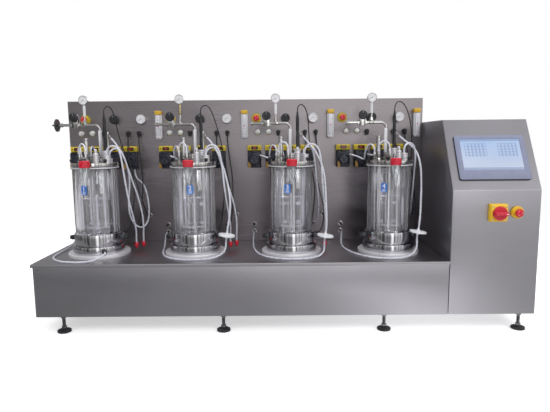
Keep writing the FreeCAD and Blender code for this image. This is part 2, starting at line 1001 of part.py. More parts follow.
def build_stirrers():
    """One turning stirrer in each vessel: hub on the base pin, shaft and two turbines."""
    for i in BAYS:
        body = turned(
            f"shaft_{i}",
            [
                ("pin_radius + running_gap", "moving_gap"),
                ("hub_radius", "moving_gap"),
                ("hub_radius", "hub_height"),
                ("shaft_radius", "hub_height"),
                ("shaft_radius", "shaft_height"),
                ("0", "shaft_height"),
                ("0", "pin_height + moving_gap"),
                ("pin_radius + running_gap", "pin_height + moving_gap"),
            ],
        )
        parts = [body]
        for k, level in enumerate(("turbine_low", "turbine_high")):
            parts.append(
                rod(
                    f"disc_{i}_{k}",
                    "turbine_disc_radius",
                    "turbine_disc_sheet",
                    ("0", "0", f"{level} - turbine_disc_sheet / 2"),
                )
            )
            for n in range(int(size("blade_count"))):
                blade = box(f"blade_{i}_{k}_{n}", "blade_length", "blade_sheet", "blade_height")
                bearing = n * 360 / size("blade_count")
                reach = "(turbine_radius - blade_length)"
                foot = f"{level} - blade_height / 2"
                parts.append(place_radially(blade, bearing, reach, "blade_sheet", foot))
        stirrer = fuse(f"stirrer_solid_{i}", parts)
        place(stirrer, at_vessel(i, level="glass_foot"))
        piece(stirrer, f"stirrer_{i + 1}")


def build_drives():
    motor = turned(
        "motor",
        [
            ("0", "-motor_height"),
            ("motor_radius", "-motor_height"),
            ("motor_radius", "-motor_flange_sheet"),
            ("motor_flange_radius", "-motor_flange_sheet"),
            ("motor_flange_radius", "0"),
            ("0", "0"),
        ],
    )
    copies("drive_motors", motor, in_all_bays(at_vessel, "0", "0", "-deck_sheet"))


def build_probe():
    probe = turned(
        "probe",
        [
            ("0", "probe_tip"),
            ("probe_radius", "probe_tip"),
            ("probe_radius", "head_top"),
            ("probe_nut_radius", "head_top"),
            ("probe_nut_radius", "head_top + probe_nut_height"),
            ("probe_radius", "head_top + probe_nut_height"),
            ("probe_radius", "probe_body_top"),
            ("probe_neck_radius", "probe_body_top"),
            ("probe_neck_radius", "probe_top"),
            ("0", "probe_top"),
        ],
    )
    copies("ph_probes", probe, in_all_bays(at_vessel, *spread("probe_across", "probe_behind"), "0"))


def build_exhaust():
    """The exhaust line: up from the head plate, round a bend and out to the left,
    with a valve block and a tee for the gauge."""
    turn_left = FreeCAD.Rotation(FreeCAD.Vector(0, 1, 0), -90)
    foot = rod("pipe_foot", "pipe_foot_radius", "pipe_foot_height", ("0", "0", "head_top"))
    riser = rod("pipe_riser", "pipe_radius", "pipe_level - pipe_bend - head_top", ("0", "0", "head_top"))
    bend = doc.addObject("Part::Torus", "pipe_elbow")
    bind(bend, Radius1="pipe_bend", Radius2="pipe_radius")
    bend.Angle3 = 90
    sweep = FreeCAD.Rotation(FreeCAD.Vector(1, 0, 0), 90)
    place(bend, ("-pipe_bend", "0", "pipe_level - pipe_bend"), sweep)
    run = rod(
        "pipe_run",
        "pipe_radius",
        "pipe_reach - pipe_bend",
        ("-pipe_bend", "0", "pipe_level"),
        turn_left,
    )
    end_spot = ("pipe_end_length - pipe_reach", "0", "pipe_level")
    end = rod("pipe_end", "pipe_end_radius", "pipe_end_length", end_spot, turn_left)
    block = box(
        "valve_block",
        "valve_side",
        "valve_side",
        "valve_side / 2 + valve_rise + valve_top",
        ("-valve_across - valve_side / 2", "-valve_side / 2", "pipe_level - valve_side / 2"),
    )
    tee = rod("gauge_tee", "tee_radius", "tee_height", ("-gauge_across", "0", "pipe_level"))
    whole = fuse("pipe_and_valve", [foot, riser, bend, run, end, block, tee])
    bore = rod(
        "valve_bore",
        "spindle_radius + running_gap",
        "valve_side",
        ("-valve_across", "spindle_length - valve_side / 2", "pipe_level + valve_rise"),
        FACING_FRONT,
    )
    bored = cut("exhaust", whole, bore)
    copies("exhaust_pipes", bored, in_all_bays(at_vessel, "0", "exhaust_behind", "0"))

    case = dial_case("gauge_case", "gauge_radius", "gauge_depth")
    place(case, ("0", "gauge_depth / 2", "gauge_level"), FACING_FRONT)
    stem = turned(
        "gauge_stem",
        [
            ("0", "pipe_level + tee_height"),
            ("stem_radius", "pipe_level + tee_height"),
            ("stem_radius", "stem_sleeve_bottom"),
            ("stem_sleeve_radius", "stem_sleeve_bottom"),
            ("stem_sleeve_radius", "gauge_level - gauge_radius + stem_into_case"),
            ("0", "gauge_level - gauge_radius + stem_into_case"),
        ],
    )
    gauge = fuse("gauge", [case, stem])
    copies("vessel_gauges", gauge, in_all_bays(at_vessel, "-gauge_across", "exhaust_behind", "0"))

    for i in BAYS:
        knob = panel_knob(f"valve_knob_{i}", "valve_knob_radius", "valve_knob_height")
        spot = at_vessel(
            i, "-valve_across", "exhaust_behind - valve_side / 2", "pipe_level + valve_rise"
        )
        place(knob, spot, FACING_FRONT)
        piece(knob, f"exhaust_valve_knob_{i + 1}")


def dial_case(name, radius, depth):
    """A round gauge case with its dial sunk inside a rim."""
    return turned(
        name,
        [
            ("0", "0"),
            (f"{radius} - edge_bevel", "0"),
            (radius, "edge_bevel * 2"),
            (radius, depth),
            (f"{radius} - bezel_rim", depth),
            (f"{radius} - bezel_rim", f"{depth} - dial_recess"),
            ("0", f"{depth} - dial_recess"),
        ],
    )


def panel_knob(name, radius, proud):
    """A round hand knob on a spindle, origin where the spindle enters its seat."""
    return turned(
        name,
        [
            ("0", "stem_end_gap - spindle_length"),
            ("spindle_radius", "stem_end_gap - spindle_length"),
            ("spindle_radius", "moving_gap"),
            (f"{radius} - edge_bevel * 2.5", "moving_gap"),
            (radius, "edge_bevel * 3"),
            (radius, f"{proud} - edge_bevel"),
            (f"{radius} - edge_bevel", proud),
            ("0", proud),
        ],
    )


def build_sample_set():
    bottle = turned(
        "bottle",
        [
            ("0", "cap_top - cap_height - bottle_height"),
            ("bottle_radius", "cap_top - cap_height - bottle_height"),
            ("bottle_radius", "cap_top - cap_height"),
            ("bottle_radius - bottle_wall", "cap_top - cap_height"),
            ("bottle_radius - bottle_wall", "cap_top - cap_height - bottle_height + bottle_wall"),
            ("0", "cap_top - cap_height - bottle_height + bottle_wall"),
        ],
    )
    copies("sample_bottles", bottle, in_all_bays(at_vessel, "0", "-cap_front", "0"))
    cap = turned(
        "cap",
        [
            ("0", "cap_top - cap_height"),
            ("cap_radius", "cap_top - cap_height"),
            ("cap_radius", "cap_top - edge_bevel"),
            ("cap_radius - edge_bevel", "cap_top"),
            ("0", "cap_top"),
        ],
    )
    copies("sample_caps", cap, in_all_bays(at_vessel, "0", "-cap_front", "0"))


# Instrument panel


def build_pumps():
    """Four peristaltic pump heads in each bay, each under its own display fascia."""
    block = box("pump_block", "pump_width", "pump_body_height", "pump_depth")
    place(block, ("-pump_width / 2", "0", "0"))
    cover = rod(
        "rotor_cover", "rotor_cover_radius", "rotor_cover_proud", ("0", "pump_body_height / 2", "pump_depth")
    )
    pump = fuse("pump", [block, cover])
    fascia = box("fascia", "pump_width + 2 * fascia_overlap", "fascia_height", "fascia_depth")
    body_spots = []
    fascia_spots = []
    for i in BAYS:
        for k in range(4):
            across = f"pump_first + pump_pitch * {k}"
            body_spots.append(on_panel(i, across, "pump_foot"))
            left = f"{across} - pump_width / 2 - fascia_overlap"
            fascia_spots.append(on_panel(i, left, "pump_foot + pump_body_height"))
    facing = [FACING_FRONT] * len(body_spots)
    copies("pump_bodies", pump, body_spots, facing)
    copies("pump_fascias", fascia, fascia_spots, facing)


def build_rotameters():
    tube_block = box("meter_block", "rotameter_width", "rotameter_height", "rotameter_depth")
    place(tube_block, ("-rotameter_width / 2", "0", "0"))
    bore = rod(
        "meter_bore",
        "rotameter_bore_radius",
        "rotameter_height - 2 * rotameter_cap_height",
        ("0", "rotameter_height - rotameter_cap_height", "rotameter_depth / 2"),
        FACING_FRONT,
    )
    meter = cut("meter", tube_block, bore)
    spots = in_all_bays(on_row, "rotameter_across", "rotameter_foot")
    copies("rotameters", meter, spots, [FACING_FRONT] * len(spots))


def build_panel_fittings():
    facing = [FACING_FRONT] * len(BAYS)
    case = dial_case("panel_dial", "dial_radius", "dial_depth")
    copies("panel_gauges", case, in_all_bays(on_row, "dial_across", "upper_row"), facing)

    ring = collar("station_ring", "station_collar_radius", "station_collar_proud")
    spots = in_all_bays(on_row, "station_across", "upper_row")
    copies("station_button_collars", ring, spots, facing)
    for i in BAYS:
        button = mushroom(
            f"station_mushroom_{i}", "station_button", "station_travel", "station_collar_proud"
        )
        x, y, z = on_row(i, "station_across", "upper_row")
        place(button, (x, f"{y} - station_collar_proud", z), FACING_FRONT)
        piece(button, f"station_button_{i + 1}")
        knob = panel_knob(f"regulator_{i}", "regulator_radius", "regulator_proud")
        place(knob, on_row(i, "regulator_across", "upper_row"), FACING_FRONT)
        piece(knob, f"regulator_knob_{i + 1}")

    dome = turned(
        "dome",
        [
            ("0", "0"),
            ("dome_radius", "0"),
            ("dome_radius", "dome_proud * 0.3"),
            ("dome_radius * 0.85", "dome_proud * 0.72"),
            ("dome_radius * 0.5", "dome_proud * 0.95"),
            ("0", "dome_proud"),
        ],
    )
    spots = [on_panel(i, f"dome_first + dome_pitch * {k}", "lower_row") for i in BAYS for k in range(2)]
    copies("pilot_domes", dome, spots, [FACING_FRONT] * len(spots))


# Places of the cable sockets across a bay.
SOCKETS_ACROSS = ("135", "244", "288")

# Bearings of the couplings on a vessel's base, and of the first vessel's drain.
COUPLING_ANGLES = (0, 30, 55, 180)
DRAIN_ANGLE = -62


def build_connectors():
    """Elbow sockets for the cables, and the barbs and couplings for the hoses."""
    nose = rod("socket_nose", "socket_radius", "socket_proud")
    drop = rod(
        "socket_drop",
        "socket_boss_radius",
        "socket_boss_drop",
        ("0", "0", "socket_proud - socket_boss_radius - socket_rim"),
        FACING_FRONT,
    )
    elbow = fuse("elbow_socket", [nose, drop])
    spots = [on_panel(i, across, "lower_row") for i in BAYS for across in SOCKETS_ACROSS]
    copies("cable_sockets", elbow, spots, [FACING_FRONT] * len(spots))

    barb = turned(
        "panel_barb",
        [
            ("0", "0"),
            ("panel_barb_flange_radius", "0"),
            ("panel_barb_flange_radius", "panel_barb_flange"),
            ("panel_barb_radius", "panel_barb_flange"),
            ("panel_barb_radius", "panel_barb_proud - panel_barb_tip"),
            ("barb_radius", "panel_barb_proud"),
            ("0", "panel_barb_proud"),
        ],
    )
    spots = []
    for i in BAYS:
        spots.append(on_panel(i, "barb_across", "barb_low"))
        spots.append(on_panel(i, "barb_across", "barb_high"))
        spots.append(on_panel(i, "return_across", "return_level"))
        spots.append(on_panel(i, "probe_socket_across", "probe_socket_level"))
    copies("panel_barbs", barb, spots, [FACING_FRONT] * len(spots))

    coupling = rod("coupling", "coupling_radius", "coupling_length")
    spots = []
    turns = []
    for i in BAYS:
        for angle in COUPLING_ANGLES:
            along = (f"collar_radius * cos({angle})", f"collar_radius * sin({angle})")
            spots.append(at_vessel(i, *along, "coupling_level"))
            turns.append(FreeCAD.Rotation(angle, 90, 0))
    along = (f"flange_radius * cos({DRAIN_ANGLE})", f"flange_radius * sin({DRAIN_ANGLE})")
    spots.append(at_vessel(0, *along, "drain_level"))
    turns.append(FreeCAD.Rotation(DRAIN_ANGLE, 90, 0))
    copies("base_couplings", coupling, spots, turns)


# Bay, place and level of each riser's filter.
FILTERS = [(1, "123", "-42", "74"), (2, "123", "-42", "70"), (3, "92", "-72", "87")]


def build_filters():
    """The disc filter in each riser, and the vent filter on the first exhaust line."""
    disc = turned(
        "filter_disc",
        [
            ("0", "-filter_height / 2 - filter_hub_height"),
            ("filter_hub_radius", "-filter_height / 2 - filter_hub_height"),
            ("filter_hub_radius", "-filter_height / 2"),
            ("filter_radius", "-filter_height / 2"),
            ("filter_radius", "filter_height / 2"),
            ("filter_hub_radius", "filter_height / 2"),
            ("filter_hub_radius", "filter_height / 2 + filter_hub_height"),
            ("0", "filter_height / 2 + filter_hub_height"),
        ],
    )
    vent = turned(
        "vent_disc",
        [
            ("0", "0"),
            ("vent_stub_radius", "0"),
            ("vent_stub_radius", "vent_stub / 2"),
            ("vent_radius", "vent_stub / 2"),
            ("vent_radius", "vent_stub / 2 + vent_sheet"),
            ("vent_stub_radius", "vent_stub / 2 + vent_sheet"),
            ("vent_stub_radius", "vent_stub * 1.5 + vent_sheet"),
            ("0", "vent_stub * 1.5 + vent_sheet"),
        ],
    )
    links = []
    leaning = FreeCAD.Rotation(FreeCAD.Vector(0, 1, 0), size("filter_lean"))
    for i, across, behind, level in FILTERS:
        link = doc.addObject("App::Link", f"filter_at_{i}")
        link.LinkedObject = disc
        links.append(place(link, at_vessel(i, across, behind, level), leaning))
    link = doc.addObject("App::Link", "vent_at_0")
    link.LinkedObject = vent
    leaving = FreeCAD.Rotation(FreeCAD.Vector(0, 1, 0), -90)
    links.append(place(link, at_vessel(0, "-pipe_reach", "exhaust_behind", "pipe_level"), leaving))
    group = doc.addObject("Part::Compound", "air_filters_group")
    group.Links = links
    piece(group, "air_filters")


def build_tube_plugs():
    plug = rod("tube_plug", "tube_plug_radius", "tube_plug_height")
    spots = []
    for i, points in FEED_ROUTES:
        across, behind, level = points[-1]
        if level < size("return_level"):
            spots.append(at_vessel(i, str(across), str(behind), "tube_plug_foot"))
    copies("tube_plugs", plug, spots)


# Hoses and cables. Their points are given from the vessel's axis and the deck.

LOOP_HOSE = [
    (54, -101.5, 27), (60.1, -113, 27), (59.6, -128, 24.5), (51.6, -140.7, 19.5), (37.5, -148.9, 12.5),
    (16, -151.5, 6.5), (-12, -152.5, 4), (-45, -151, 4), (-78, -144, 4), (-108, -127, 4),
    (-132, -101, 4), (-147, -67, 4), (-153, -28, 4), (-154, 14, 4), (-153, 54, 4.5),
    (-151, 90, 7), (-150, 120, 13), (-149.5, 144, 23), (-149.5, 164, 34), (-149.5, 182, 41),
    (-149.5, 198, 41),
]
DECK_HOSE_2 = [
    (-149.5, 198, 41), (-149.5, 186, 41), (-149, 172, 37), (-148, 156, 28), (-145, 137, 17),
    (-141, 113, 8), (-136, 84, 4.5), (-131, 50, 4), (-125, 12, 4), (-117, -28, 4),
    (-101, -68, 4), (-74, -101, 4), (-38, -122, 4), (2, -129, 4), (42, -125, 4),
    (77, -112, 5), (102, -88, 10), (116, -66, 20), (119.5, -51, 33), (119.2, -42, 47),
    (121.2, -42, 61.1),
]
DECK_HOSE_3 = [
    (-149.5, 198, 41), (-149.5, 186, 41), (-150, 172, 36), (-150, 157, 26), (-150, 138, 14),
    (-149, 114, 6), (-147, 86, 4), (-143, 54, 4), (-137, 16, 4), (-128, -22, 4),
    (-112, -58, 4), (-89, -91, 4), (-58, -115, 4), (-22, -127, 4), (15, -129, 4),
    (52, -123, 4), (83, -107, 5), (106, -86, 10), (117, -65, 20), (119, -47.5, 31.5),
    (119.2, -42, 44), (121.2, -42, 57.1),
]
DECK_HOSE_4 = [
    (-149.5, 198, 41), (-149.5, 186, 41), (-151, 172, 37), (-154, 155, 29), (-158, 133, 19),
    (-161, 107, 10), (-161, 78, 5), (-157, 45, 4), (-149, 8, 4), (-137, -30, 4),
    (-118, -67, 4), (-92, -100, 4), (-58, -122, 4), (-20, -132, 4), (18, -130, 5),
    (49, -120, 9), (72, -104, 19), (84, -88, 33), (88, -77, 47), (88.4, -72, 61),
    (90.2, -72, 74.1),
]
RISER_HOSE_2 = [
    (124.8, -42, 86.9), (127, -42, 102.7), (131, -40, 124), (135, -36, 151), (137, -30, 184),
    (135, -21, 220), (128, -11, 256), (119, 0, 291), (108, 12, 326), (95, 26, 360),
    (82, 37, 385), (69, 44.5, 404), (57.3, 50.1, 419.3), (46.4, 55.6, 429.6),
]
RISER_HOSE_3 = [
    (124.8, -42, 82.9), (127, -42, 98.7), (128, -39, 120), (128, -34, 149), (127, -27, 183),
    (126, -19, 219), (125, -10, 256), (122, 2, 292), (115, 12, 326), (103, 24, 356),
    (88, 34.5, 381), (72, 43.5, 402), (57.3, 50.1, 419.3), (46.4, 55.6, 429.6),
]
RISER_HOSE_4 = [
    (93.8, -72, 99.9), (96, -72, 115.7), (99, -67, 138), (103, -58, 168), (106, -48, 202),
    (109, -38, 238), (111, -27, 275), (112, -15, 311), (109, -2, 344), (102, 12, 371),
    (90, 25, 390), (74, 38.5, 404), (57.3, 50.1, 419.3), (46.4, 55.6, 429.6),
]
LONG_TUBE = [
    (46.4, 55.6, 429.6), (57.3, 50.1, 419.3), (72, 43, 401), (88, 39, 376), (101, 40, 345),
    (109, 43, 308), (111, 46, 266), (105, 49, 222), (100, 52, 180), (101, 55, 144),
    (109, 60, 114), (123, 67, 92), (140, 78, 84), (154, 93, 93), (161, 109, 116),
    (160, 125, 150), (153, 140, 186), (144, 153, 217), (133, 166, 240), (119, 179, 254),
    (105, 191, 262), (93, 200, 271), (87, 203.5, 290), (87, 203.5, 306),
]
FEED_NEAR = [
    (49, -14, 371), (49, -14, 384), (55.8, -15.7, 396.1), (67.5, -18.6, 403.1), (81.1, -22, 403.1),
    (92.9, -24.9, 396.1), (100.6, -26.8, 382.2), (105.6, -28, 361), (109, -27, 332), (112, -24, 297),
    (115, -19, 260), (118, -13, 224), (122, -5, 188), (126, 6, 154), (129, 19, 122),
    (130, 31, 94), (129, 38, 70), (128, 40, 50), (128, 40, 34),
]
FEED_FAR = [
    (46, 24, 360), (46, 24, 373), (51.3, 28.6, 385.1), (60.3, 36.6, 392.1), (70.8, 45.8, 392.1),
    (79.9, 53.8, 385.1), (85.9, 59.1, 371.2), (91, 63, 350), (99, 67, 320), (109, 69, 284),
    (121, 69, 246), (133, 67, 208), (143, 64, 170), (150, 62, 132), (152, 61, 96),
    (151, 60, 70), (150, 60, 50), (150, 60, 34),
]
FEED_BACK = [
    (46, 24, 360), (46, 24, 373), (51.3, 28.6, 385.1), (60.3, 36.6, 392.1), (70.8, 45.8, 392.1),
    (79.9, 53.8, 385.1), (85.9, 59.1, 371.2), (90, 64, 350), (94, 70, 318), (98, 78, 280),
    (103, 88, 240), (108, 100, 202), (111, 114, 166), (110, 131, 132), (107, 147, 105),
    (103.5, 159, 88), (100.5, 171, 76.5), (99.5, 184, 71), (99.5, 198, 71),
]
FEED_INNER = [
    (49, -14, 371), (49, -14, 384), (54.7, -11.6, 396.1), (64.8, -7.2, 403.1), (76.5, -2.3, 403.1),
    (86.6, 2.1, 396.1), (93.2, 4.9, 382.2), (96.5, 7, 361), (97, 10, 332), (96, 14, 296),
    (95, 20, 258), (95, 30, 220), (97, 46, 184), (102, 68, 152), (106, 95, 126),
    (107, 123, 104), (105, 148, 87), (101, 170, 74), (99.5, 185, 71), (99.5, 198, 71),
]
PUMP_TUBE_LEFT = [
    (-119.5, 184, 358), (-119.5, 172, 358), (-113.5, 161.6, 357), (-103, 155, 354), (-89, 149, 349),
    (-79, 138, 343), (-74.5, 122, 340), (-74.5, 103, 341), (-77, 85, 346), (-79, 69, 354),
    (-80, 57, 366), (-78, 47, 380.5), (-74, 40.6, 393.4), (-68.3, 31.9, 399.4), (-61.9, 21.8, 399.4),
    (-56.2, 13, 393.4), (-53, 8, 382.8), (-53, 8, 371),
]
PUMP_TUBE_RIGHT = [
    (-47.5, 184, 358), (-47.5, 172, 358), (-41.5, 161.6, 357), (-31.3, 155.2, 355),
    (-23, 144, 352), (-21.5, 128, 351), (-25, 111, 357), (-28, 98, 368), (-30.5, 89.5, 381),
    (-31.5, 82.5, 393.2), (-31.5, 72.4, 399.4), (-31, 60.4, 399.4), (-30.3, 50, 393.4),
    (-30, 44, 382.8), (-30, 44, 371),
]
HEAD_LOOP = [
    (-45, -27, 383), (-45, -27, 395), (-40.5, -31, 405.4), (-32.7, -37.8, 411.4), (-24.3, -45.2, 411.4),
    (-16.5, -52, 405.4), (-12, -56, 395), (-12, -56, 383),
]
PROBE_CABLE_1 = [
    (26, 46, 522), (26, 46, 533), (28.5, 51.6, 543.2), (33, 61, 549), (38.5, 72.3, 549),
    (43.3, 82.1, 542.6), (46.5, 89, 530), (49, 96, 511), (51, 105, 484), (54, 116, 450),
    (60, 128, 412), (70, 138, 374), (82, 144, 336), (95, 147, 296), (107, 148, 256),
    (117, 149, 218), (126, 152, 184), (132, 158, 156), (136.5, 167, 133), (137.5, 175, 118.5),
    (137.5, 186, 112), (137.5, 198, 112),
]
PROBE_CABLE_2 = [
    (26, 46, 522), (26, 46, 533), (30.5, 50, 543.2), (38.3, 56.9, 549), (47.3, 64.7, 549),
    (55.1, 71.6, 543), (61.5, 77.2, 531), (69, 84, 511), (78, 93, 480), (87, 103, 442),
    (95, 114, 400), (102, 124, 356), (108, 133, 312), (115, 140, 268), (122, 145, 226),
    (129, 151, 188), (133.5, 158, 157), (136.5, 167, 133), (137.5, 175, 118.5), (137.5, 186, 112),
    (137.5, 198, 112),
]
PROBE_CABLE_3 = [
    (26, 46, 522), (26, 46, 533), (30, 50.5, 543.2), (37, 58, 549), (45, 67, 549),
    (53, 76, 543), (60, 84, 531), (66, 92, 512), (70, 101, 484), (72, 111, 448),
    (75, 122, 408), (81, 132, 366), (90, 139, 324), (101, 143, 282), (112, 146, 240),
    (122, 150, 200), (131, 157, 164), (136, 166, 136), (137.5, 175, 118.5), (137.5, 186, 112),
    (137.5, 198, 112),
]
PROBE_CABLE_4 = [
    (26, 46, 522), (26, 46, 534), (30, 48.5, 546), (38, 54, 554.5), (49, 61, 557),
    (61, 69, 553), (72, 76.5, 542), (83, 84, 524), (94, 92, 498), (103, 101, 464),
    (109, 110, 426), (112, 119, 384), (113, 128, 340), (114, 136, 296), (117, 143, 254),
    (122, 149, 214), (128, 154, 182), (133, 159, 155), (136.5, 167, 133), (137.5, 175, 118.5),
    (137.5, 186, 112), (137.5, 198, 112),
]
SENSOR_CABLE_LEFT = [
    (63.5, 209, 436), (63.5, 209, 424), (64.5, 203.5, 411.5), (67, 194.5, 398), (71, 181, 382),
    (76, 166, 361), (82, 159, 332), (89, 157, 295), (95, 153, 259), (98, 149, 226),
    (97, 143, 194), (94, 137.5, 163), (90.5, 132, 134), (87.4, 128, 106), (83.5, 121, 84),
    (77.7, 111, 70.3), (70, 100, 64), (61.9, 88.5, 64),
]
SENSOR_CABLE_RIGHT = [
    (107.5, 209, 436), (107.5, 209, 423), (109, 204, 408), (112, 196, 387), (116, 187, 358),
    (121, 177, 325), (127, 167, 291), (131, 157, 257), (132, 146, 223), (132, 133, 190),
    (132, 118, 160), (131, 103, 132), (128, 90, 106), (122, 77, 82), (113, 66.5, 68.5),
    (103.9, 60, 64), (93.5, 54, 64),
]

# Which bay, counted from nought, each route lies in.
DECK_ROUTES = [(0, LOOP_HOSE), (1, DECK_HOSE_2), (2, DECK_HOSE_3), (3, DECK_HOSE_4)]
RISER_ROUTES = [(1, RISER_HOSE_2), (2, RISER_HOSE_3), (3, RISER_HOSE_4)]
FEED_ROUTES = [
    (0, LONG_TUBE), (0, FEED_NEAR), (0, FEED_FAR), (1, FEED_NEAR), (1, FEED_FAR),
    (2, FEED_NEAR), (2, FEED_BACK), (3, FEED_INNER),
]
HEAD_ROUTES = [(i, route) for i in BAYS for route in (PUMP_TUBE_LEFT, PUMP_TUBE_RIGHT, HEAD_LOOP)]
PROBE_ROUTES = [(0, PROBE_CABLE_1), (1, PROBE_CABLE_2), (2, PROBE_CABLE_3), (3, PROBE_CABLE_4)]
SENSOR_ROUTES = [(i, route) for i in BAYS for route in (SENSOR_CABLE_LEFT, SENSOR_CABLE_RIGHT)]


def routed(points):
    """A wire of straight runs joined by tangent arcs, and the arcs' radii."""
    corners = [FreeCAD.Vector(*p) for p in points]
    edges = []
    radii = []
    start = corners[0]
    for before, corner, after in zip(corners, corners[1:], corners[2:]):
        back = (before - corner).normalize()
        ahead = (after - corner).normalize()
        half_turn = (math.pi - back.getAngle(ahead)) / 2
        reach = 0.45 * min((before - corner).Length, (after - corner).Length)
        radius = reach / math.tan(half_turn)
        radii.append(radius)
        middle = (back + ahead).normalize()
        into = corner + back * reach
        out = corner + ahead * reach
        crown = corner + middle * (radius / math.cos(half_turn) - radius)
        edges.append(Part.LineSegment(start, into).toShape())
        edges.append(Part.Arc(into, crown, out).toShape())
        start = out
    edges.append(Part.LineSegment(start, corners[-1]).toShape())
    return Part.Wire(edges), radii


def tube(points, radius):
    """A round tube along a route, checked against its section times its length."""
    wire, radii = routed(points)
    start = FreeCAD.Vector(*points[0])
    direction = FreeCAD.Vector(*points[1]) - start
    section = Part.Wire(Part.Circle(start, direction, radius).toShape())
    solid = wire.makePipeShell([section], True, False)
    expected = math.pi * radius * radius * wire.Length
    if abs(solid.Volume / expected - 1) > 0.01:
        raise ValueError(f"a tube holds {solid.Volume:.0f} and should hold {expected:.0f}")
    return solid, min(radii), wire.Length


def hoses(node, radius_name, routes):
    """A sub-part of free hoses, one solid for each (bay, points) pair."""
    radius = size(radius_name)
    solids = []
    for i, points in routes:
        solid, tightest, length = tube(points, radius)
        spot = [size(expression) for expression in at_vessel(i)]
        solid.translate(FreeCAD.Vector(*spot))
        solids.append(solid)
        print(f"{node} bay {i + 1}: length {length:.0f}, tightest radius {tightest:.1f}")
    feature = doc.addObject("Part::Feature", node + "_tubes")
    feature.Shape = Part.makeCompound(solids)
    piece(feature, node)


def build_hoses():
    hoses("deck_hoses", "hose_radius", DECK_ROUTES)
    hoses("riser_hoses", "hose_radius", RISER_ROUTES)
    hoses("feed_tubes", "feed_radius", FEED_ROUTES)
    hoses("head_tubes", "head_tube_radius", HEAD_ROUTES)
    hoses("probe_cables", "probe_cable_radius", PROBE_ROUTES)
    hoses("sensor_cables", "sensor_cable_radius", SENSOR_ROUTES)


build_base()
build_deck()
build_panel()
build_rear_housing()
build_cabinet()
build_touchscreen()
build_isolator()
build_stop()
build_feet()
build_vessel_base()
build_glass()
build_clamping()
build_ports()
build_cage()
build_stirrers()
build_drives()
build_probe()
build_exhaust()
build_sample_set()
build_pumps()
build_rotameters()
build_panel_fittings()
build_connectors()
build_filters()
build_tube_plugs()
build_hoses()

doc.recompute()

for thing in doc.Objects:
    if "Invalid" in thing.State or "Error" in thing.State:
        raise RuntimeError(f"{thing.Label} failed: {thing.State}")
for thing in pieces:
    if thing.Shape.isNull() or not thing.Shape.isValid() or not thing.Shape.Solids:
        raise RuntimeError(f"{thing.Label} has no valid solid")

os.makedirs("parts", exist_ok=True)
for thing in pieces:
    thing.Shape.exportStep(f"parts/{thing.Label}.step")
print(len(pieces), "nodes")
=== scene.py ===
import math

import bmesh
import bpy
import numpy as np
from mathutils import Euler, Matrix, Vector


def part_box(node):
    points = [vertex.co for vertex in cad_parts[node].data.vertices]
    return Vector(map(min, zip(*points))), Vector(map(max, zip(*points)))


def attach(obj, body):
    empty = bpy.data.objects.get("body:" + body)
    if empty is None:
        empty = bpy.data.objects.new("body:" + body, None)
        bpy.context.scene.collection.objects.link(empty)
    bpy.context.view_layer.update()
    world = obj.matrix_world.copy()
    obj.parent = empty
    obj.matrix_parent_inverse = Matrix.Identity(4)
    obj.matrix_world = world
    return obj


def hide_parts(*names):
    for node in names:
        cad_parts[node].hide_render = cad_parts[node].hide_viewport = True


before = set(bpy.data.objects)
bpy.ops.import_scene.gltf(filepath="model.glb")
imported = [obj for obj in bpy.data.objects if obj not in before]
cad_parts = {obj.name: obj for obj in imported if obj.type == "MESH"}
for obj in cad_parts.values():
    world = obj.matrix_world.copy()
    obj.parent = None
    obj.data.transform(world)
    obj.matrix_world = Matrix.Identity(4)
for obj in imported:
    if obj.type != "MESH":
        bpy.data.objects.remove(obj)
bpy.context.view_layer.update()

bl_info = {
    "name": "Bench Bioreactor", "version": (1, 0, 0), "blender": (4, 5, 0),
    "location": "View3D > Sidebar > Bioreactor",
    "description": "Dresses the construction model of a four-vessel bench bioreactor",
    "category": "Object"
}

MM = 0.001
BAYS = range(4)
BODY = "frame"


# Places read from the construction model


def box_of(node):
    """A node's lower and upper corners in millimetres, as shapes are drawn until make is called."""
    return tuple(Vector(corner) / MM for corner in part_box(node))


def points_of(node):
    return [v.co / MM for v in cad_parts[node].data.vertices]


def low(node):
    return box_of(node)[0]


def high(node):
    return box_of(node)[1]


def is_inside(box, other):
    """Whether a box lies within another on every side, as the wall of a closed hollow does."""
    return all(box[0][k] > other[0][k] and box[1][k] < other[1][k] for k in range(3))


def solids(node):
    """The box of each separate solid in a node, as (low, high) corners, in order along X."""
    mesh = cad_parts[node].data
    count = len(mesh.vertices)
    spots = np.zeros(count * 3)
    mesh.vertices.foreach_get("co", spots)
    spots = spots.reshape(-1, 3)
    _, same = np.unique(np.round(spots, 6), axis=0, return_inverse=True)
    same = same.reshape(-1)
    owner = np.arange(same.max() + 1)
    edges = np.zeros(len(mesh.edges) * 2, int)
    mesh.edges.foreach_get("vertices", edges)
    pairs = same[edges].reshape(-1, 2)
    while True:
        lowest = owner.copy()
        np.minimum.at(lowest, pairs[:, 0], owner[pairs[:, 1]])
        np.minimum.at(lowest, pairs[:, 1], owner[pairs[:, 0]])
        lowest = lowest[lowest]
        if (lowest == owner).all():
            break
        owner = lowest
    groups = owner[same]
    boxes = []
    for group in np.unique(groups):
        points = spots[groups == group]
        boxes.append((Vector(points.min(0)), Vector(points.max(0))))
    boxes = [b for b in boxes if not any(is_inside(b, other) for other in boxes)]
    boxes.sort(key=lambda b: (round(b[0].x, 4), round(b[0].z, 4), round(b[0].y, 4)))
    return [(corner / MM, opposite / MM) for corner, opposite in boxes]


# The driving places, in metres as the frame has them.
BASE_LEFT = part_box("base_housing")[0].x
PITCH = (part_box("control_cabinet")[0].x - BASE_LEFT) / len(BAYS)
DECK_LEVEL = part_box("deck_plate")[1].z
AXIS_Y = sum(corner.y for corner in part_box("seat_discs")) / 2
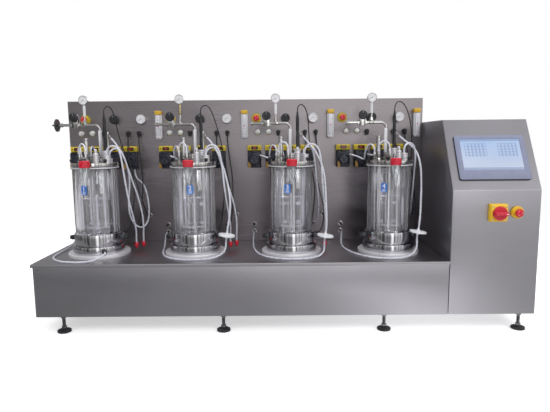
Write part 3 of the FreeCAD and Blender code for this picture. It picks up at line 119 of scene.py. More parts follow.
# Levels of the vessels and the panel, in millimetres.
DECK = high("deck_plate").z
PANEL_Y = low("instrument_panel").y
SEAT_TOP = high("seat_discs").z
GLASS_LOW, GLASS_HIGH = box_of("vessel_glasses")
HEAD_LOW, HEAD_HIGH = box_of("head_plates")
HEAD_TOP = HEAD_HIGH.z


def vessel_spot(bay, across=0.0, behind=0.0, up=0.0):
    """A point given in millimetres from a vessel's axis and the deck, in metres for the frame."""
    x = BASE_LEFT + PITCH * (bay + 0.5) + across * MM
    return Vector((x, AXIS_Y + behind * MM, DECK_LEVEL + up * MM))


def drawn_spot(bay, across=0.0, behind=0.0, up=0.0):
    """The same point in millimetres, as shapes are drawn."""
    return vessel_spot(bay, across, behind, up) / MM


def tint(code):
    """A colour written as red, green and blue in hexadecimal, as linear numbers."""
    channels = [int(code[i : i + 2], 16) / 255 for i in (0, 2, 4)]
    return tuple(c / 12.92 if c <= 0.04045 else ((c + 0.055) / 1.055) ** 2.4 for c in channels)


def colour_property(name, description, code):
    return bpy.props.FloatVectorProperty(
        name=name, description=description, subtype="COLOR", size=3, min=0, max=1, default=tint(code)
    )


def length_property(name, description, metres):
    return bpy.props.FloatProperty(
        name=name, description=description, default=metres, min=0, unit="LENGTH", subtype="DISTANCE"
    )


class BioreactorColours(bpy.types.PropertyGroup):
    """Colours of the bioreactor's finishes."""

    # One brushed steel in three tones: the deck's lighter tone is painted light on its upturned top, and
    # the panel's darker, warmer tone is painted shade and brownish reflection.
    sheet: colour_property("Sheet steel", "Brushed sheet of the base and the cabinet", "b2b0b6")
    panel: colour_property("Panel steel", "Brushed sheet of the instrument panel", "938d90")
    deck: colour_property("Deck steel", "Brushed sheet of the deck", "bfbcc0")
    polished: colour_property("Polished steel", "Turned and polished steel parts", "e2e1e6")
    fascia: colour_property("Fascia yellow", "Pump fascias and button collars", "cdb52c")
    signal: colour_property("Signal red", "Buttons, caps and plugs", "c41e33")
    moulding: colour_property("Black moulding", "Knobs, pump heads and sockets", "1c1d22")
    bezel: colour_property("Bezel grey", "Frame of the touch screen", "7f849b")
    silicone: colour_property("Silicone", "Translucent hoses", "e8e9f3")
    rubber: colour_property("Cable rubber", "Probe and sensor cables", "1d1e22")
    label: colour_property("Label blue", "Number label on each glass", "2a72cf")


class BioreactorSizes(bpy.types.PropertyGroup):
    """Sizes of the details that the construction model leaves plain."""

    bend: length_property("Sheet bend", "Radius of the folded sheet edges", 2.5 * MM)
    rib: length_property("Rib", "Width of the ribs on knobs and caps", 1.2 * MM)
    tick: length_property("Tick", "Width of the marks on dials and scales", 0.5 * MM)
    thread: length_property("Thread pitch", "Pitch of the levelling studs' thread", 1.75 * MM)


def hue(name):
    """A finish's colour from the sidebar."""
    return tuple(getattr(bpy.context.scene.bioreactor_colours, name))


def detail(name):
    """A detail's size from the sidebar, in millimetres."""
    return getattr(bpy.context.scene.bioreactor_sizes, name) / MM


# Nodes


def add(tree, kind, settings=None, **sockets):
    """Adds a node. Sockets are named by their words joined with underscores."""
    made = tree.nodes.new(kind)
    for name, value in (settings or {}).items():
        setattr(made, name, value)
    for name, value in sockets.items():
        key = int(name[1:]) if name[0] == "i" and name[1:].isdigit() else name.replace("_", " ")
        if isinstance(value, bpy.types.NodeSocket):
            tree.links.new(value, made.inputs[key])
        else:
            made.inputs[key].default_value = value
    return made


def sums(tree, operation, a, b):
    return add(tree, "ShaderNodeMath", {"operation": operation}, i0=a, i1=b).outputs[0]


def noise(tree, stretch, source="Object", detail=3.0):
    """Noise on a piece's own coordinates, with a scale along each axis."""
    where = add(tree, "ShaderNodeTexCoord").outputs[source]
    mapping = add(tree, "ShaderNodeMapping", Vector=where, Scale=stretch)
    return add(tree, "ShaderNodeTexNoise", Vector=mapping.outputs[0], Scale=1.0, Detail=detail).outputs[0]


def ranged(tree, value, to_low, to_high, from_low=0.3, from_high=0.7):
    node = add(
        tree, "ShaderNodeMapRange", Value=value, From_Min=from_low, From_Max=from_high, To_Min=to_low,
        To_Max=to_high
    )
    return node.outputs[0]


def mixed(tree, factor, a, b):
    """A colour between two, each a colour or a socket."""
    node = tree.nodes.new("ShaderNodeMix")
    node.data_type = "RGBA"
    for index, value in ((0, factor), (6, a), (7, b)):
        if isinstance(value, bpy.types.NodeSocket):
            tree.links.new(value, node.inputs[index])
        else:
            node.inputs[index].default_value = (*value, 1) if index else value
    return node.outputs[2]


def bumped(tree, height, strength, distance):
    return add(tree, "ShaderNodeBump", Strength=strength, Distance=distance, Height=height).outputs[0]


def shade(colour, factor):
    """A colour made lighter or darker."""
    return tuple(min(1, c * factor) for c in colour)


# Finishes


def finish(name, **settings):
    """A new material with one main shader, its tree and that shader."""
    material = bpy.data.materials.new(name)
    material.use_nodes = True
    tree = material.node_tree
    shader = tree.nodes["Principled BSDF"]
    for key, value in settings.items():
        socket = shader.inputs[key.replace("_", " ")]
        socket.default_value = (*value, 1) if isinstance(value, tuple) else value
    return material, tree, shader


def brushed_steel(name, colour, roughness=0.34):
    """Sheet steel brushed along the U direction of the piece's UV map."""
    material, tree, shader = finish(name, Metallic=1.0, Anisotropic=0.75)
    lines = noise(tree, (9, 1500, 1), "UV", 5)
    broad = noise(tree, (2.5, 160, 1), "UV", 3)
    clouds = noise(tree, (4, 5, 5), "Object", 3)
    tone = mixed(tree, ranged(tree, lines, 0, 1), shade(colour, 0.92), shade(colour, 1.08))
    tone = mixed(tree, ranged(tree, broad, 0, 0.35), tone, shade(colour, 0.94))
    tone = mixed(tree, ranged(tree, clouds, 0, 0.3), tone, shade(colour, 1.07))
    rough = ranged(tree, lines, roughness - 0.05, roughness + 0.07)
    smudge = ranged(tree, clouds, -0.04, 0.05)
    tree.links.new(tone, shader.inputs["Base Color"])
    tree.links.new(sums(tree, "ADD", rough, smudge), shader.inputs["Roughness"])
    tree.links.new(bumped(tree, lines, 0.12, 0.0004), shader.inputs["Normal"])
    direction = add(tree, "ShaderNodeTangent", {"direction_type": "UV_MAP", "uv_map": "grain"})
    tree.links.new(direction.outputs[0], shader.inputs["Tangent"])
    return material


def turned_steel(name, colour, roughness=0.12, lines=0.05, metallic=1.0):
    """Steel turned about the vertical, with fine tool lines round it."""
    material, tree, shader = finish(name, Metallic=metallic)
    rings = noise(tree, (14, 14, 1400), "Object", 4)
    haze = noise(tree, (22, 22, 22), "Object", 3)
    tone = mixed(tree, ranged(tree, haze, 0, 0.5), colour, shade(colour, 0.86))
    tree.links.new(tone, shader.inputs["Base Color"])
    rough = ranged(tree, rings, roughness * 0.7, roughness * 1.5)
    spots = ranged(tree, haze, -0.02, 0.06)
    tree.links.new(sums(tree, "ADD", rough, spots), shader.inputs["Roughness"])
    tree.links.new(bumped(tree, rings, lines, 0.0003), shader.inputs["Normal"])
    return material


def moulding(name, colour, roughness=0.42, grain=0.15, **settings):
    """Moulded plastic with a fine skin, scuffed a little lighter in places."""
    material, tree, shader = finish(name, **settings)
    skin = noise(tree, (2600, 2600, 2600), "Object", 2)
    scuffs = noise(tree, (60, 60, 60), "Object", 5)
    light = tuple(c + (0.35 - c) * 0.12 if c < 0.2 else c * 0.9 for c in colour)
    tree.links.new(
        mixed(tree, ranged(tree, scuffs, 0, 0.7, 0.45, 0.75), colour, light), shader.inputs["Base Color"]
    )
    tree.links.new(ranged(tree, scuffs, roughness - 0.08, roughness + 0.12), shader.inputs["Roughness"])
    tree.links.new(bumped(tree, skin, grain, 0.0001), shader.inputs["Normal"])
    return material


def clear_glass(name, colour=(0.93, 0.93, 0.955), roughness=0.01, painted_reflection=0.05):
    """Clear glass with faintly uneven roughness, whitish runs and thin upright streaks that are painted
    reflections, and painted shade darkening its edges where they are seen edge-on.
    """
    material, tree, shader = finish(name, Transmission_Weight=1.0, IOR=1.47, Base_Color=colour)
    marks = noise(tree, (120, 120, 14), "Object", 5)
    tree.links.new(ranged(tree, marks, roughness, roughness + 0.07, 0.5, 0.8), shader.inputs["Roughness"])
    # Painted shade: the glass turns dark grey where it is seen edge-on.
    rim = add(tree, "ShaderNodeLayerWeight", Blend=0.5).outputs["Facing"]
    rim = ranged(tree, rim, 0, 1, 0.86, 1)
    tree.links.new(mixed(tree, rim, colour, tint("77757f")), shader.inputs["Base Color"])
    # Painted reflections: whitish runs and thin upright streaks, where less light passes through the
    # glass.
    reflection_runs = noise(tree, (45, 45, 2.5), "Object", 4)
    reflection_veil = ranged(tree, reflection_runs, 1, 1 - painted_reflection * 2, 0.4, 0.7)
    reflection_streaks = ranged(tree, noise(tree, (150, 150, 0.5), "Object", 1), 0, painted_reflection * 7, 0.6, 0.68)
    tree.links.new(sums(tree, "SUBTRACT", reflection_veil, reflection_streaks), shader.inputs["Transmission Weight"])
    return material


def soft_tube(name, colour, clearness=0.3, roughness=0.3):
    """Translucent silicone, cloudy along its length."""
    material, tree, shader = finish(name, Transmission_Weight=clearness, IOR=1.41, Specular_IOR_Level=0.5)
    cloud = noise(tree, (70, 70, 70), "Object", 3)
    tone = mixed(tree, ranged(tree, cloud, 0, 0.6), colour, shade(colour, 0.84))
    tree.links.new(tone, shader.inputs["Base Color"])
    tree.links.new(ranged(tree, cloud, roughness - 0.08, roughness + 0.12), shader.inputs["Roughness"])
    tree.links.new(
        bumped(tree, noise(tree, (900, 900, 900), "Object", 2), 0.04, 0.0001), shader.inputs["Normal"]
    )
    return material


def lit(name, colour, strength):
    """A lit mark, brighter in its middle rows."""
    material, tree, shader = finish(name, Base_Color=shade(colour, 0.3), Emission_Strength=strength)
    rows = noise(tree, (200, 200, 900), "Object", 1)
    tree.links.new(
        mixed(tree, ranged(tree, rows, 0, 0.5), colour, shade(colour, 0.7)),
        shader.inputs["Emission Color"]
    )
    return material


# Shapes

ROUNDING_STEPS = 3
NUT_EDGE = 0.6


def lathe(outline, steps=48, closed=False, look=0):
    """Turns (radius, height) corners about Z. Going up the outside makes faces point out."""
    shape = bmesh.new()
    rings = []
    for radius, height in outline:
        if radius < 0.001:
            rings.append([shape.verts.new((0, 0, height))])
            continue
        turns = [2 * math.pi * k / steps for k in range(steps)]
        rings.append(
            [shape.verts.new((radius * math.cos(t), radius * math.sin(t), height)) for t in turns]
        )
    pairs = list(zip(rings, rings[1:]))
    if closed:
        pairs.append((rings[-1], rings[0]))
    for under, over in pairs:
        for k in range(steps):
            following = (k + 1) % steps
            corners = []
            for ring, index in ((under, k), (under, following), (over, following), (over, k)):
                corner = ring[index] if len(ring) > 1 else ring[0]
                if corner not in corners:
                    corners.append(corner)
            if len(corners) > 2:
                shape.faces.new(corners).material_index = look
    return shape


def softened(outline, radius, closed=False):
    """An outline with its corners rounded, as far as its shorter sides allow."""
    points = [Vector((*p, 0)) for p in outline]
    count = len(points)
    result = []
    for i, point in enumerate(points):
        if not closed and i in (0, count - 1):
            result.append(tuple(point.xy))
            continue
        before = points[i - 1] - point
        after = points[(i + 1) % count] - point
        reach = min(radius, before.length * 0.45, after.length * 0.45)
        start = point + before.normalized() * reach
        end = point + after.normalized() * reach
        for k in range(ROUNDING_STEPS + 1):
            t = k / ROUNDING_STEPS
            spot = start * (1 - t) ** 2 + point * 2 * t * (1 - t) + end * t**2
            result.append(tuple(spot.xy))
    return result


def rod(radius, bottom, top):
    return [(0, bottom), (radius, bottom), (radius, top), (0, top)]


def band(inner, outer, bottom, top):
    return [(inner, bottom), (outer, bottom), (outer, top), (inner, top)]


def turned(outline, edge, steps=48, closed=False, look=0):
    """A lathed shape whose outline's corners are rounded first."""
    return lathe(softened(outline, edge, closed), steps, closed, look)


def block(corner, opposite, edge=0.0, look=0, steps=2):
    """A box between two corners with rounded edges."""
    shape = bmesh.new()
    bmesh.ops.create_cube(shape, size=1)
    size = Vector(opposite) - Vector(corner)
    middle = (Vector(opposite) + Vector(corner)) / 2
    bmesh.ops.transform(
        shape, matrix=Matrix.Translation(middle) @ Matrix.Diagonal((*size, 1)), verts=shape.verts
    )
    if edge:
        bmesh.ops.bevel(
            shape, geom=shape.edges[:], offset=edge, segments=steps, profile=0.5, affect="EDGES"
        )
    for face in shape.faces:
        face.material_index = look
    return shape


def loft(loops, look=0, caps=True):
    """Joins closed loops of equal count, given from the bottom up and anticlockwise."""
    shape = bmesh.new()
    rows = [[shape.verts.new(p) for p in loop] for loop in loops]
    for under, over in zip(rows, rows[1:]):
        for k in range(len(under)):
            n = (k + 1) % len(under)
            shape.faces.new((under[k], under[n], over[n], over[k])).material_index = look
    if caps:
        shape.faces.new(rows[0][::-1]).material_index = look
        shape.faces.new(rows[-1]).material_index = look
    return shape


def rounded_rectangle(width, height, radius, level=0.0, steps=4):
    """A loop of points about the origin, anticlockwise."""
    loop = []
    for quarter, (sx, sy) in enumerate(((1, -1), (1, 1), (-1, 1), (-1, -1))):
        centre = Vector((sx * (width / 2 - radius), sy * (height / 2 - radius)))
        for k in range(steps + 1):
            angle = math.radians(-90 + 90 * quarter + 90 * k / steps)
            x, y = centre.x + radius * math.cos(angle), centre.y + radius * math.sin(angle)
            loop.append((x, y, level))
    return loop


def hexagon(width, bottom, top):
    """A nut's six-sided prism, its corners turned down at both ends."""
    corner = width / 2 / math.cos(math.radians(30))
    edge = NUT_EDGE
    outline = (
        (corner - edge, bottom), (corner, bottom + edge), (corner, top - edge), (corner - edge, top)
    )
    return lathe([(0, bottom), *outline, (0, top)], steps=6)


def moved(shape, matrix):
    bmesh.ops.transform(shape, matrix=matrix, verts=shape.verts)
    return shape


def joined(*shapes):
    """Puts shapes together into the first of them."""
    whole = shapes[0]
    for other in shapes[1:]:
        mesh = bpy.data.meshes.new("other")
        other.to_mesh(mesh)
        whole.from_mesh(mesh)
        bpy.data.meshes.remove(mesh)
        other.free()
    return whole


def at(spot, turn=None):
    """A place in the frame: a point, and a turn that takes local Z to a direction."""
    matrix = Matrix.Translation(spot)
    if turn is not None:
        matrix = matrix @ Vector((0, 0, 1)).rotation_difference(Vector(turn)).to_matrix().to_4x4()
    return matrix


def back_middle(corner, opposite):
    """The middle of a box's back face, where a piece meets its sheet."""
    return Vector(((corner.x + opposite.x) / 2, opposite.y, (corner.z + opposite.z) / 2))


FORWARD = Vector((0, -1, 0))
# Takes a shape drawn facing up to one facing the front, with its own Y upwards.
FACING_FRONT = Matrix.Rotation(math.radians(90), 4, "X")


def grain_map(mesh):
    """A UV map in metres whose U runs along the brushing: across the sheet, or back on its sides."""
    layer = mesh.uv_layers.new(name="grain")
    for face in mesh.polygons:
        n = face.normal
        sideways = abs(n.x) > max(abs(n.y), abs(n.z))
        upright = abs(n.y) > abs(n.z)
        for loop in face.loop_indices:
            p = mesh.vertices[mesh.loops[loop].vertex_index].co
            if sideways:
                layer.data[loop].uv = (p.y, p.z)
            else:
                layer.data[loop].uv = (p.x, p.z if upright else p.y)


def make(name, shape, materials, replaces=(), body=BODY, sharp=38):
    """Turns a shape into a finished piece that rides on a body."""
    bmesh.ops.scale(shape, vec=(MM, MM, MM), verts=shape.verts)
    mesh = bpy.data.meshes.new(name)
    shape.to_mesh(mesh)
    shape.free()
    mesh.shade_smooth()
    mesh.set_sharp_from_angle(angle=math.radians(sharp))
    for material in materials:
        mesh.materials.append(material)
    grain_map(mesh)
    piece = linked(name, mesh)
    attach(piece, body)
    if replaces:
        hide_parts(*([replaces] if isinstance(replaces, str) else replaces))
    return piece


# Repeats made with geometry nodes


def new_tree(name, *inputs):
    """An empty geometry tree with named number inputs, its input node and its output node."""
    tree = bpy.data.node_groups.new(name, "GeometryNodeTree")
    tree.interface.new_socket("Geometry", in_out="INPUT", socket_type="NodeSocketGeometry")
    for label, kind, value in inputs:
        made = tree.interface.new_socket(label, in_out="INPUT", socket_type="NodeSocket" + kind)
        made.default_value = value
    tree.interface.new_socket("Geometry", in_out="OUTPUT", socket_type="NodeSocketGeometry")
    return tree, tree.nodes.new("NodeGroupInput"), tree.nodes.new("NodeGroupOutput")


def close_tree(tree, output, instances, material):
    """Ends a tree as the export needs it: real geometry with its material set."""
    real = add(tree, "GeometryNodeRealizeInstances", i0=instances)
    painted = add(tree, "GeometryNodeSetMaterial", Geometry=real.outputs[0], Material=material)
    tree.links.new(painted.outputs[0], output.inputs[0])


def linked(name, data):
    """A new object in the scene that carries a mesh, a curve, a light or a camera."""
    carrier = bpy.data.objects.new(name, data)
    bpy.context.scene.collection.objects.link(carrier)
    return carrier


def evaluated(name, data, tree=None, look=0):
    """The shape that a mesh or a curve comes to, through a tree if one is given."""
    carrier = linked(name, data)
    if tree:
        carrier.modifiers.new(name, "NODES").node_group = tree
    graph = bpy.context.evaluated_depsgraph_get()
    mesh = bpy.data.meshes.new_from_object(carrier.evaluated_get(graph))
    bpy.data.objects.remove(carrier)
    return as_shape(mesh, look)


def repeated(name, source, places, material, look=0):
    """Copies of a shape at each (point, direction of its Z) place, as one shape."""
    mesh = bpy.data.meshes.new(name + "_one")
    source.to_mesh(mesh)
    source.free()
    one = linked(name + "_one", mesh)
    start = bpy.data.meshes.new(name + "_places")
    start.from_pydata([spot for spot, _ in places], [], [])
    turns = start.attributes.new("turn", "FLOAT_VECTOR", "POINT")
    for entry, (_, way) in zip(turns.data, places):
        entry.vector = Vector((0, 0, 1)).rotation_difference(Vector(way)).to_euler()
    tree, given, output = new_tree(name, ("Size", "Float", 1.0))
    info = add(tree, "GeometryNodeObjectInfo", Object=one)
    turn = add(tree, "GeometryNodeInputNamedAttribute", {"data_type": "FLOAT_VECTOR"}, Name="turn")
    rotation = add(tree, "FunctionNodeEulerToRotation", i0=turn.outputs[0])
    copies = add(
        tree, "GeometryNodeInstanceOnPoints", Points=given.outputs[0], Instance=info.outputs["Geometry"],
        Rotation=rotation.outputs[0], Scale=given.outputs["Size"]
    )
    close_tree(tree, output, copies.outputs[0], material)
    copies = evaluated(name, start, tree, look)
    bpy.data.objects.remove(one)
    return copies


def ring_of_ribs(name, count, radius, size, level, material, sweep=2 * math.pi, start=0.0, look=0):
    """Ribs round the Z axis: size is each rib's width, depth and height. A part turn has one
    rib at each end."""
    tree, given, output = new_tree(
        name, ("Count", "Int", count), ("Radius", "Float", radius), ("Level", "Float", level),
        ("Start", "Float", start), ("Step", "Float", sweep / (count if sweep > 6.28 else count - 1)),
        ("Rib", "Vector", (size[1], size[0], size[2]))
    )
    index = add(tree, "GeometryNodeInputIndex").outputs[0]
    turn = sums(tree, "MULTIPLY", index, given.outputs["Step"])
    turn = sums(tree, "ADD", turn, given.outputs["Start"])
    spot = add(
        tree, "ShaderNodeCombineXYZ",
        X=sums(tree, "MULTIPLY", sums(tree, "COSINE", turn, 0.0), given.outputs["Radius"]),
        Y=sums(tree, "MULTIPLY", sums(tree, "SINE", turn, 0.0), given.outputs["Radius"]),
        Z=given.outputs["Level"]
    )
    line = add(tree, "GeometryNodeMeshLine", Count=given.outputs["Count"])
    placed = add(tree, "GeometryNodeSetPosition", Geometry=line.outputs[0], Position=spot.outputs[0])
    facing = add(tree, "ShaderNodeCombineXYZ", Z=turn)
    rotation = add(tree, "FunctionNodeEulerToRotation", i0=facing.outputs[0])
    rib = add(tree, "GeometryNodeMeshCube", Size=given.outputs["Rib"])
    copies = add(
        tree, "GeometryNodeInstanceOnPoints", Points=placed.outputs[0], Instance=rib.outputs[0],
        Rotation=rotation.outputs[0]
    )
    close_tree(tree, output, copies.outputs[0], material)
    return evaluated(name, bpy.data.meshes.new(name), tree, look)


def row_of_marks(name, count, step, size, material, look=0):
    """Thin marks along a line from the origin: step is the way from one to the next."""
    tree, given, output = new_tree(
        name, ("Count", "Int", count), ("Step", "Vector", step), ("Mark", "Vector", size)
    )
    line = add(tree, "GeometryNodeMeshLine", Count=given.outputs["Count"], Offset=given.outputs["Step"])
    mark = add(tree, "GeometryNodeMeshCube", Size=given.outputs["Mark"])
    copies = add(tree, "GeometryNodeInstanceOnPoints", Points=line.outputs[0], Instance=mark.outputs[0])
    close_tree(tree, output, copies.outputs[0], material)
    return evaluated(name, bpy.data.meshes.new(name), tree, look)


def as_shape(mesh, look=0):
    """A plain mesh taken back into a shape, to be joined with others."""
    shape = bmesh.new()
    shape.from_mesh(mesh)
    bpy.data.meshes.remove(mesh)
    for face in shape.faces:
        face.material_index = look
    return shape


def pipe(points, radius, bend, steps=16):
    """A rigid pipe along straight runs with one bend radius at each corner."""
    curve = bpy.data.curves.new("pipe", "CURVE")
    curve.dimensions = "3D"
    line = curve.splines.new("POLY")
    line.points.add(len(points) - 1)
    for point, spot in zip(line.points, points):
        point.co = (*spot, 1)
    tree, given, output = new_tree(
        "pipe", ("Radius", "Float", radius), ("Bend", "Float", bend), ("Sides", "Int", steps)
    )
    smooth = add(
        tree, "GeometryNodeFilletCurve", Curve=given.outputs[0], Radius=given.outputs["Bend"],
        Limit_Radius=True
    )
    if smooth.bl_rna.properties.get("mode"):
        smooth.mode = "POLY"
    smooth.inputs["Count"].default_value = 8
    section = add(
        tree, "GeometryNodeCurvePrimitiveCircle", Resolution=given.outputs["Sides"],
        Radius=given.outputs["Radius"]
    )
    swept = add(
        tree, "GeometryNodeCurveToMesh", Curve=smooth.outputs[0], Profile_Curve=section.outputs[0],
        Fill_Caps=True
    )
    tree.links.new(swept.outputs[0], output.inputs[0])
    shape = evaluated("pipe", curve, tree)
    bpy.data.curves.remove(curve)
    bmesh.ops.recalc_face_normals(shape, faces=shape.faces)
    return shape


# Stage

FLOOR_GLOW = 0.45
# What mirrors see of the studio, as (place along X, brightness): by place on the floor, and by
# direction for the lower and the upper half of the room.
FLOOR_MIRROR = (
    (-0.9, 0.26), (-0.45, 0.38), (-0.1, 0.42), (0.15, 0.6), (0.3, 0.85), (0.5, 1.25), (0.62, 1.15),
    (0.75, 0.85), (0.9, 0.65), (1.1, 0.56)
)
LOWER_ROOM = (
    (-0.45, 0.16), (-0.22, 0.19), (-0.05, 0.21), (0.12, 0.62), (0.2, 1.35), (0.26, 1.3), (0.34, 0.85),
    (0.45, 0.55)
)
UPPER_ROOM = (
    (-0.45, 0.34), (-0.3, 0.44), (-0.08, 0.68), (0.07, 1.05), (0.2, 1.9), (0.35, 1.9), (0.5, 1.0)
)


def glow_along(tree, value, stops):
    """A brightness that follows a value between stops."""
    first, last = stops[0][0], stops[-1][0]
    ramp = add(tree, "ShaderNodeValToRGB", Fac=ranged(tree, value, 0, 1, first, last))
    points = ramp.color_ramp.elements
    while len(points) < len(stops):
        points.new(0.5)
    highest = max(glow for _, glow in stops)
    for point, (spot, glow) in zip(points, stops):
        point.position = (spot - first) / (last - first)
    for point, (spot, glow) in zip(points, stops):
        point.color = (*[glow / highest] * 3, 1)
    return sums(tree, "MULTIPLY", ramp.outputs[0], highest)


def seen_directly(tree, ray):
    """One for the camera's own rays and for those through glass, none for mirrors."""
    return sums(tree, "MAXIMUM", ray.outputs["Is Camera Ray"], ray.outputs["Is Transmission Ray"])


def make_material_of_stage():
    """White where it is seen, with the object's shadow kept, and a soft studio floor in mirrors."""
    material, tree, shader = finish("studio_white", Roughness=0.8, Emission_Color=tint("ffffff"))
    paper = noise(tree, (3, 3, 3), "Object", 2)
    tree.links.new(
        mixed(tree, ranged(tree, paper, 0, 0.4), tint("f6f6f6"), tint("efefef")),
        shader.inputs["Base Color"]
    )
    ray = add(tree, "ShaderNodeLightPath")
    seen = seen_directly(tree, ray)
    tree.links.new(sums(tree, "MULTIPLY", seen, FLOOR_GLOW), shader.inputs["Emission Strength"])
    spot = add(tree, "ShaderNodeTexCoord").outputs["Object"]
    spot = add(tree, "ShaderNodeSeparateXYZ", i0=spot)
    glow = add(tree, "ShaderNodeEmission", Strength=glow_along(tree, spot.outputs[0], FLOOR_MIRROR))
    both = add(tree, "ShaderNodeMixShader", i0=ray.outputs["Is Glossy Ray"], i1=shader.outputs[0])
    tree.links.new(glow.outputs[0], both.inputs[2])
    tree.links.new(both.outputs[0], tree.nodes["Material Output"].inputs["Surface"])
    return material


class BIOREACTOR_OT_stage(bpy.types.Operator):
    """Sets up the camera, the studio light, the floor and the backdrop"""

    bl_idname = "bioreactor.stage"
    bl_label = "Stage and Camera"

    def execute(self, context):
        scene = context.scene
        scene.view_settings.view_transform = "Standard"
        camera = linked("camera", bpy.data.cameras.new("camera"))
        camera.data.lens = 32.6
        camera.data.sensor_width = 36
        camera.data.clip_end = 100
        turn, fall, lean = math.radians(-0.4), math.radians(7.68), math.radians(-0.57)
        heading = Euler((math.radians(90) - fall, 0, -turn)).to_matrix()
        camera.matrix_world = (
            Matrix.Translation((-0.0142, -1.904, 0.6757))
            @ (heading @ Matrix.Rotation(lean, 3, "Z")).to_4x4()
        )
        scene.camera = camera

        world = bpy.data.worlds.new("studio")
        scene.world = world
        world.use_nodes = True
        tree = world.node_tree
        background = tree.nodes["Background"]
        way = add(tree, "ShaderNodeSeparateXYZ", i0=add(tree, "ShaderNodeTexCoord").outputs["Generated"])
        side = add(
            tree, "ShaderNodeMix", Factor=ranged(tree, way.outputs[2], 0, 1, -0.12, 0.02),
            A=glow_along(tree, way.outputs[0], LOWER_ROOM), B=glow_along(tree, way.outputs[0], UPPER_ROOM)
        ).outputs[0]
        turn_about = sums(tree, "ARCTAN2", way.outputs[0], way.outputs[1])
        bands = add(tree, "ShaderNodeTexNoise", {"noise_dimensions": "1D"}, W=turn_about, Scale=4.5)
        bands = ranged(tree, bands.outputs[0], 0.25, 1.75, 0.36, 0.64)
        side = sums(tree, "MULTIPLY", side, bands)
        side = sums(tree, "MULTIPLY", side, ranged(tree, way.outputs[2], 1, 0.55, 0.45, 0.8))
        ray = add(tree, "ShaderNodeLightPath")
        grey = add(tree, "ShaderNodeCombineColor", Red=side, Green=side, Blue=side)
        mirrored = mixed(tree, ray.outputs["Is Glossy Ray"], (0.62, 0.62, 0.63), grey.outputs[0])
        seen = mixed(tree, seen_directly(tree, ray), mirrored, (1, 1, 1))
        tree.links.new(seen, background.inputs["Color"])

        floor = bmesh.new()
        bmesh.ops.create_grid(floor, x_segments=2, y_segments=2, size=1)
        bmesh.ops.scale(floor, vec=(2.4, 1.45, 1), verts=floor.verts)
        bmesh.ops.translate(floor, vec=(0, 0.6, 0), verts=floor.verts)
        mesh = bpy.data.meshes.new("floor")
        floor.to_mesh(mesh)
        floor.free()
        mesh.materials.append(make_material_of_stage())
        ground = linked("floor", mesh)

        for name, spot, aim, size, power in (
            ("softbox_right", (2.2, -2.6, 2.6), (0.2, 0, 0.5), (1.6, 1.6), 60),
            ("softbox_left", (-2.6, -2.2, 2.0), (-0.2, 0, 0.5), (0.7, 1.8), 22),
            ("softbox_top", (0.0, 0.3, 3.2), (0, 0, 0.5), (3.0, 1.6), 45)
        ):
            light = bpy.data.lights.new(name, "AREA")
            light.shape = "RECTANGLE"
            light.size, light.size_y = size
            light.energy = power
            lamp = linked(name, light)
            lamp.location = spot
            lamp.visible_glossy = False
            aimed = Vector(aim) - Vector(spot)
            lamp.rotation_euler = aimed.to_track_quat("-Z", "Y").to_euler()
        return {"FINISHED"}


# Cords. Each route is given in millimetres from a vessel's axis and the deck.

LOOP_HOSE = [
    (54, -101.5, 27), (60.1, -113, 27), (59.6, -128, 24.5), (51.6, -140.7, 19.5), (37.5, -148.9, 12.5),
    (16, -151.5, 6.5), (-12, -152.5, 4), (-45, -151, 4), (-78, -144, 4), (-108, -127, 4), (-132, -101, 4),
    (-147, -67, 4), (-153, -28, 4), (-154, 14, 4), (-153, 54, 4.5), (-151, 90, 7), (-150, 120, 13),
    (-149.5, 144, 23), (-149.5, 164, 34), (-149.5, 182, 41), (-149.5, 198, 41)
]
DECK_HOSE_2 = [
    (-149.5, 198, 41), (-149.5, 186, 41), (-149, 172, 37), (-148, 156, 28), (-145, 137, 17),
    (-141, 113, 8), (-136, 84, 4.5), (-131, 50, 4), (-125, 12, 4), (-117, -28, 4), (-101, -68, 4),
    (-74, -101, 4), (-38, -122, 4), (2, -129, 4), (42, -125, 4), (77, -112, 5), (102, -88, 10),
    (116, -66, 20), (119.5, -51, 33), (119.2, -42, 47), (121.2, -42, 61.1)
]
DECK_HOSE_3 = [
    (-149.5, 198, 41), (-149.5, 186, 41), (-150, 172, 36), (-150, 157, 26), (-150, 138, 14),
    (-149, 114, 6), (-147, 86, 4), (-143, 54, 4), (-137, 16, 4), (-128, -22, 4), (-112, -58, 4),
    (-89, -91, 4), (-58, -115, 4), (-22, -127, 4), (15, -129, 4), (52, -123, 4), (83, -107, 5),
    (106, -86, 10), (117, -65, 20), (119, -47.5, 31.5), (119.2, -42, 44), (121.2, -42, 57.1)
]
DECK_HOSE_4 = [
    (-149.5, 198, 41), (-149.5, 186, 41), (-151, 172, 37), (-154, 155, 29), (-158, 133, 19),
    (-161, 107, 10), (-161, 78, 5), (-157, 45, 4), (-149, 8, 4), (-137, -30, 4), (-118, -67, 4),
    (-92, -100, 4), (-58, -122, 4), (-20, -132, 4), (18, -130, 5), (49, -120, 9), (72, -104, 19),
    (84, -88, 33), (88, -77, 47), (88.4, -72, 61), (90.2, -72, 74.1)
]
RISER_HOSE_2 = [
    (124.8, -42, 86.9), (127, -42, 102.7), (131, -40, 124), (135, -36, 151), (137, -30, 184),
    (135, -21, 220), (128, -11, 256), (119, 0, 291), (108, 12, 326), (95, 26, 360), (82, 37, 385),
    (69, 44.5, 404), (57.3, 50.1, 419.3), (46.4, 55.6, 429.6)
]
RISER_HOSE_3 = [
    (124.8, -42, 82.9), (127, -42, 98.7), (128, -39, 120), (128, -34, 149), (127, -27, 183),
    (126, -19, 219), (125, -10, 256), (122, 2, 292), (115, 12, 326), (103, 24, 356), (88, 34.5, 381),
    (72, 43.5, 402), (57.3, 50.1, 419.3), (46.4, 55.6, 429.6)
]
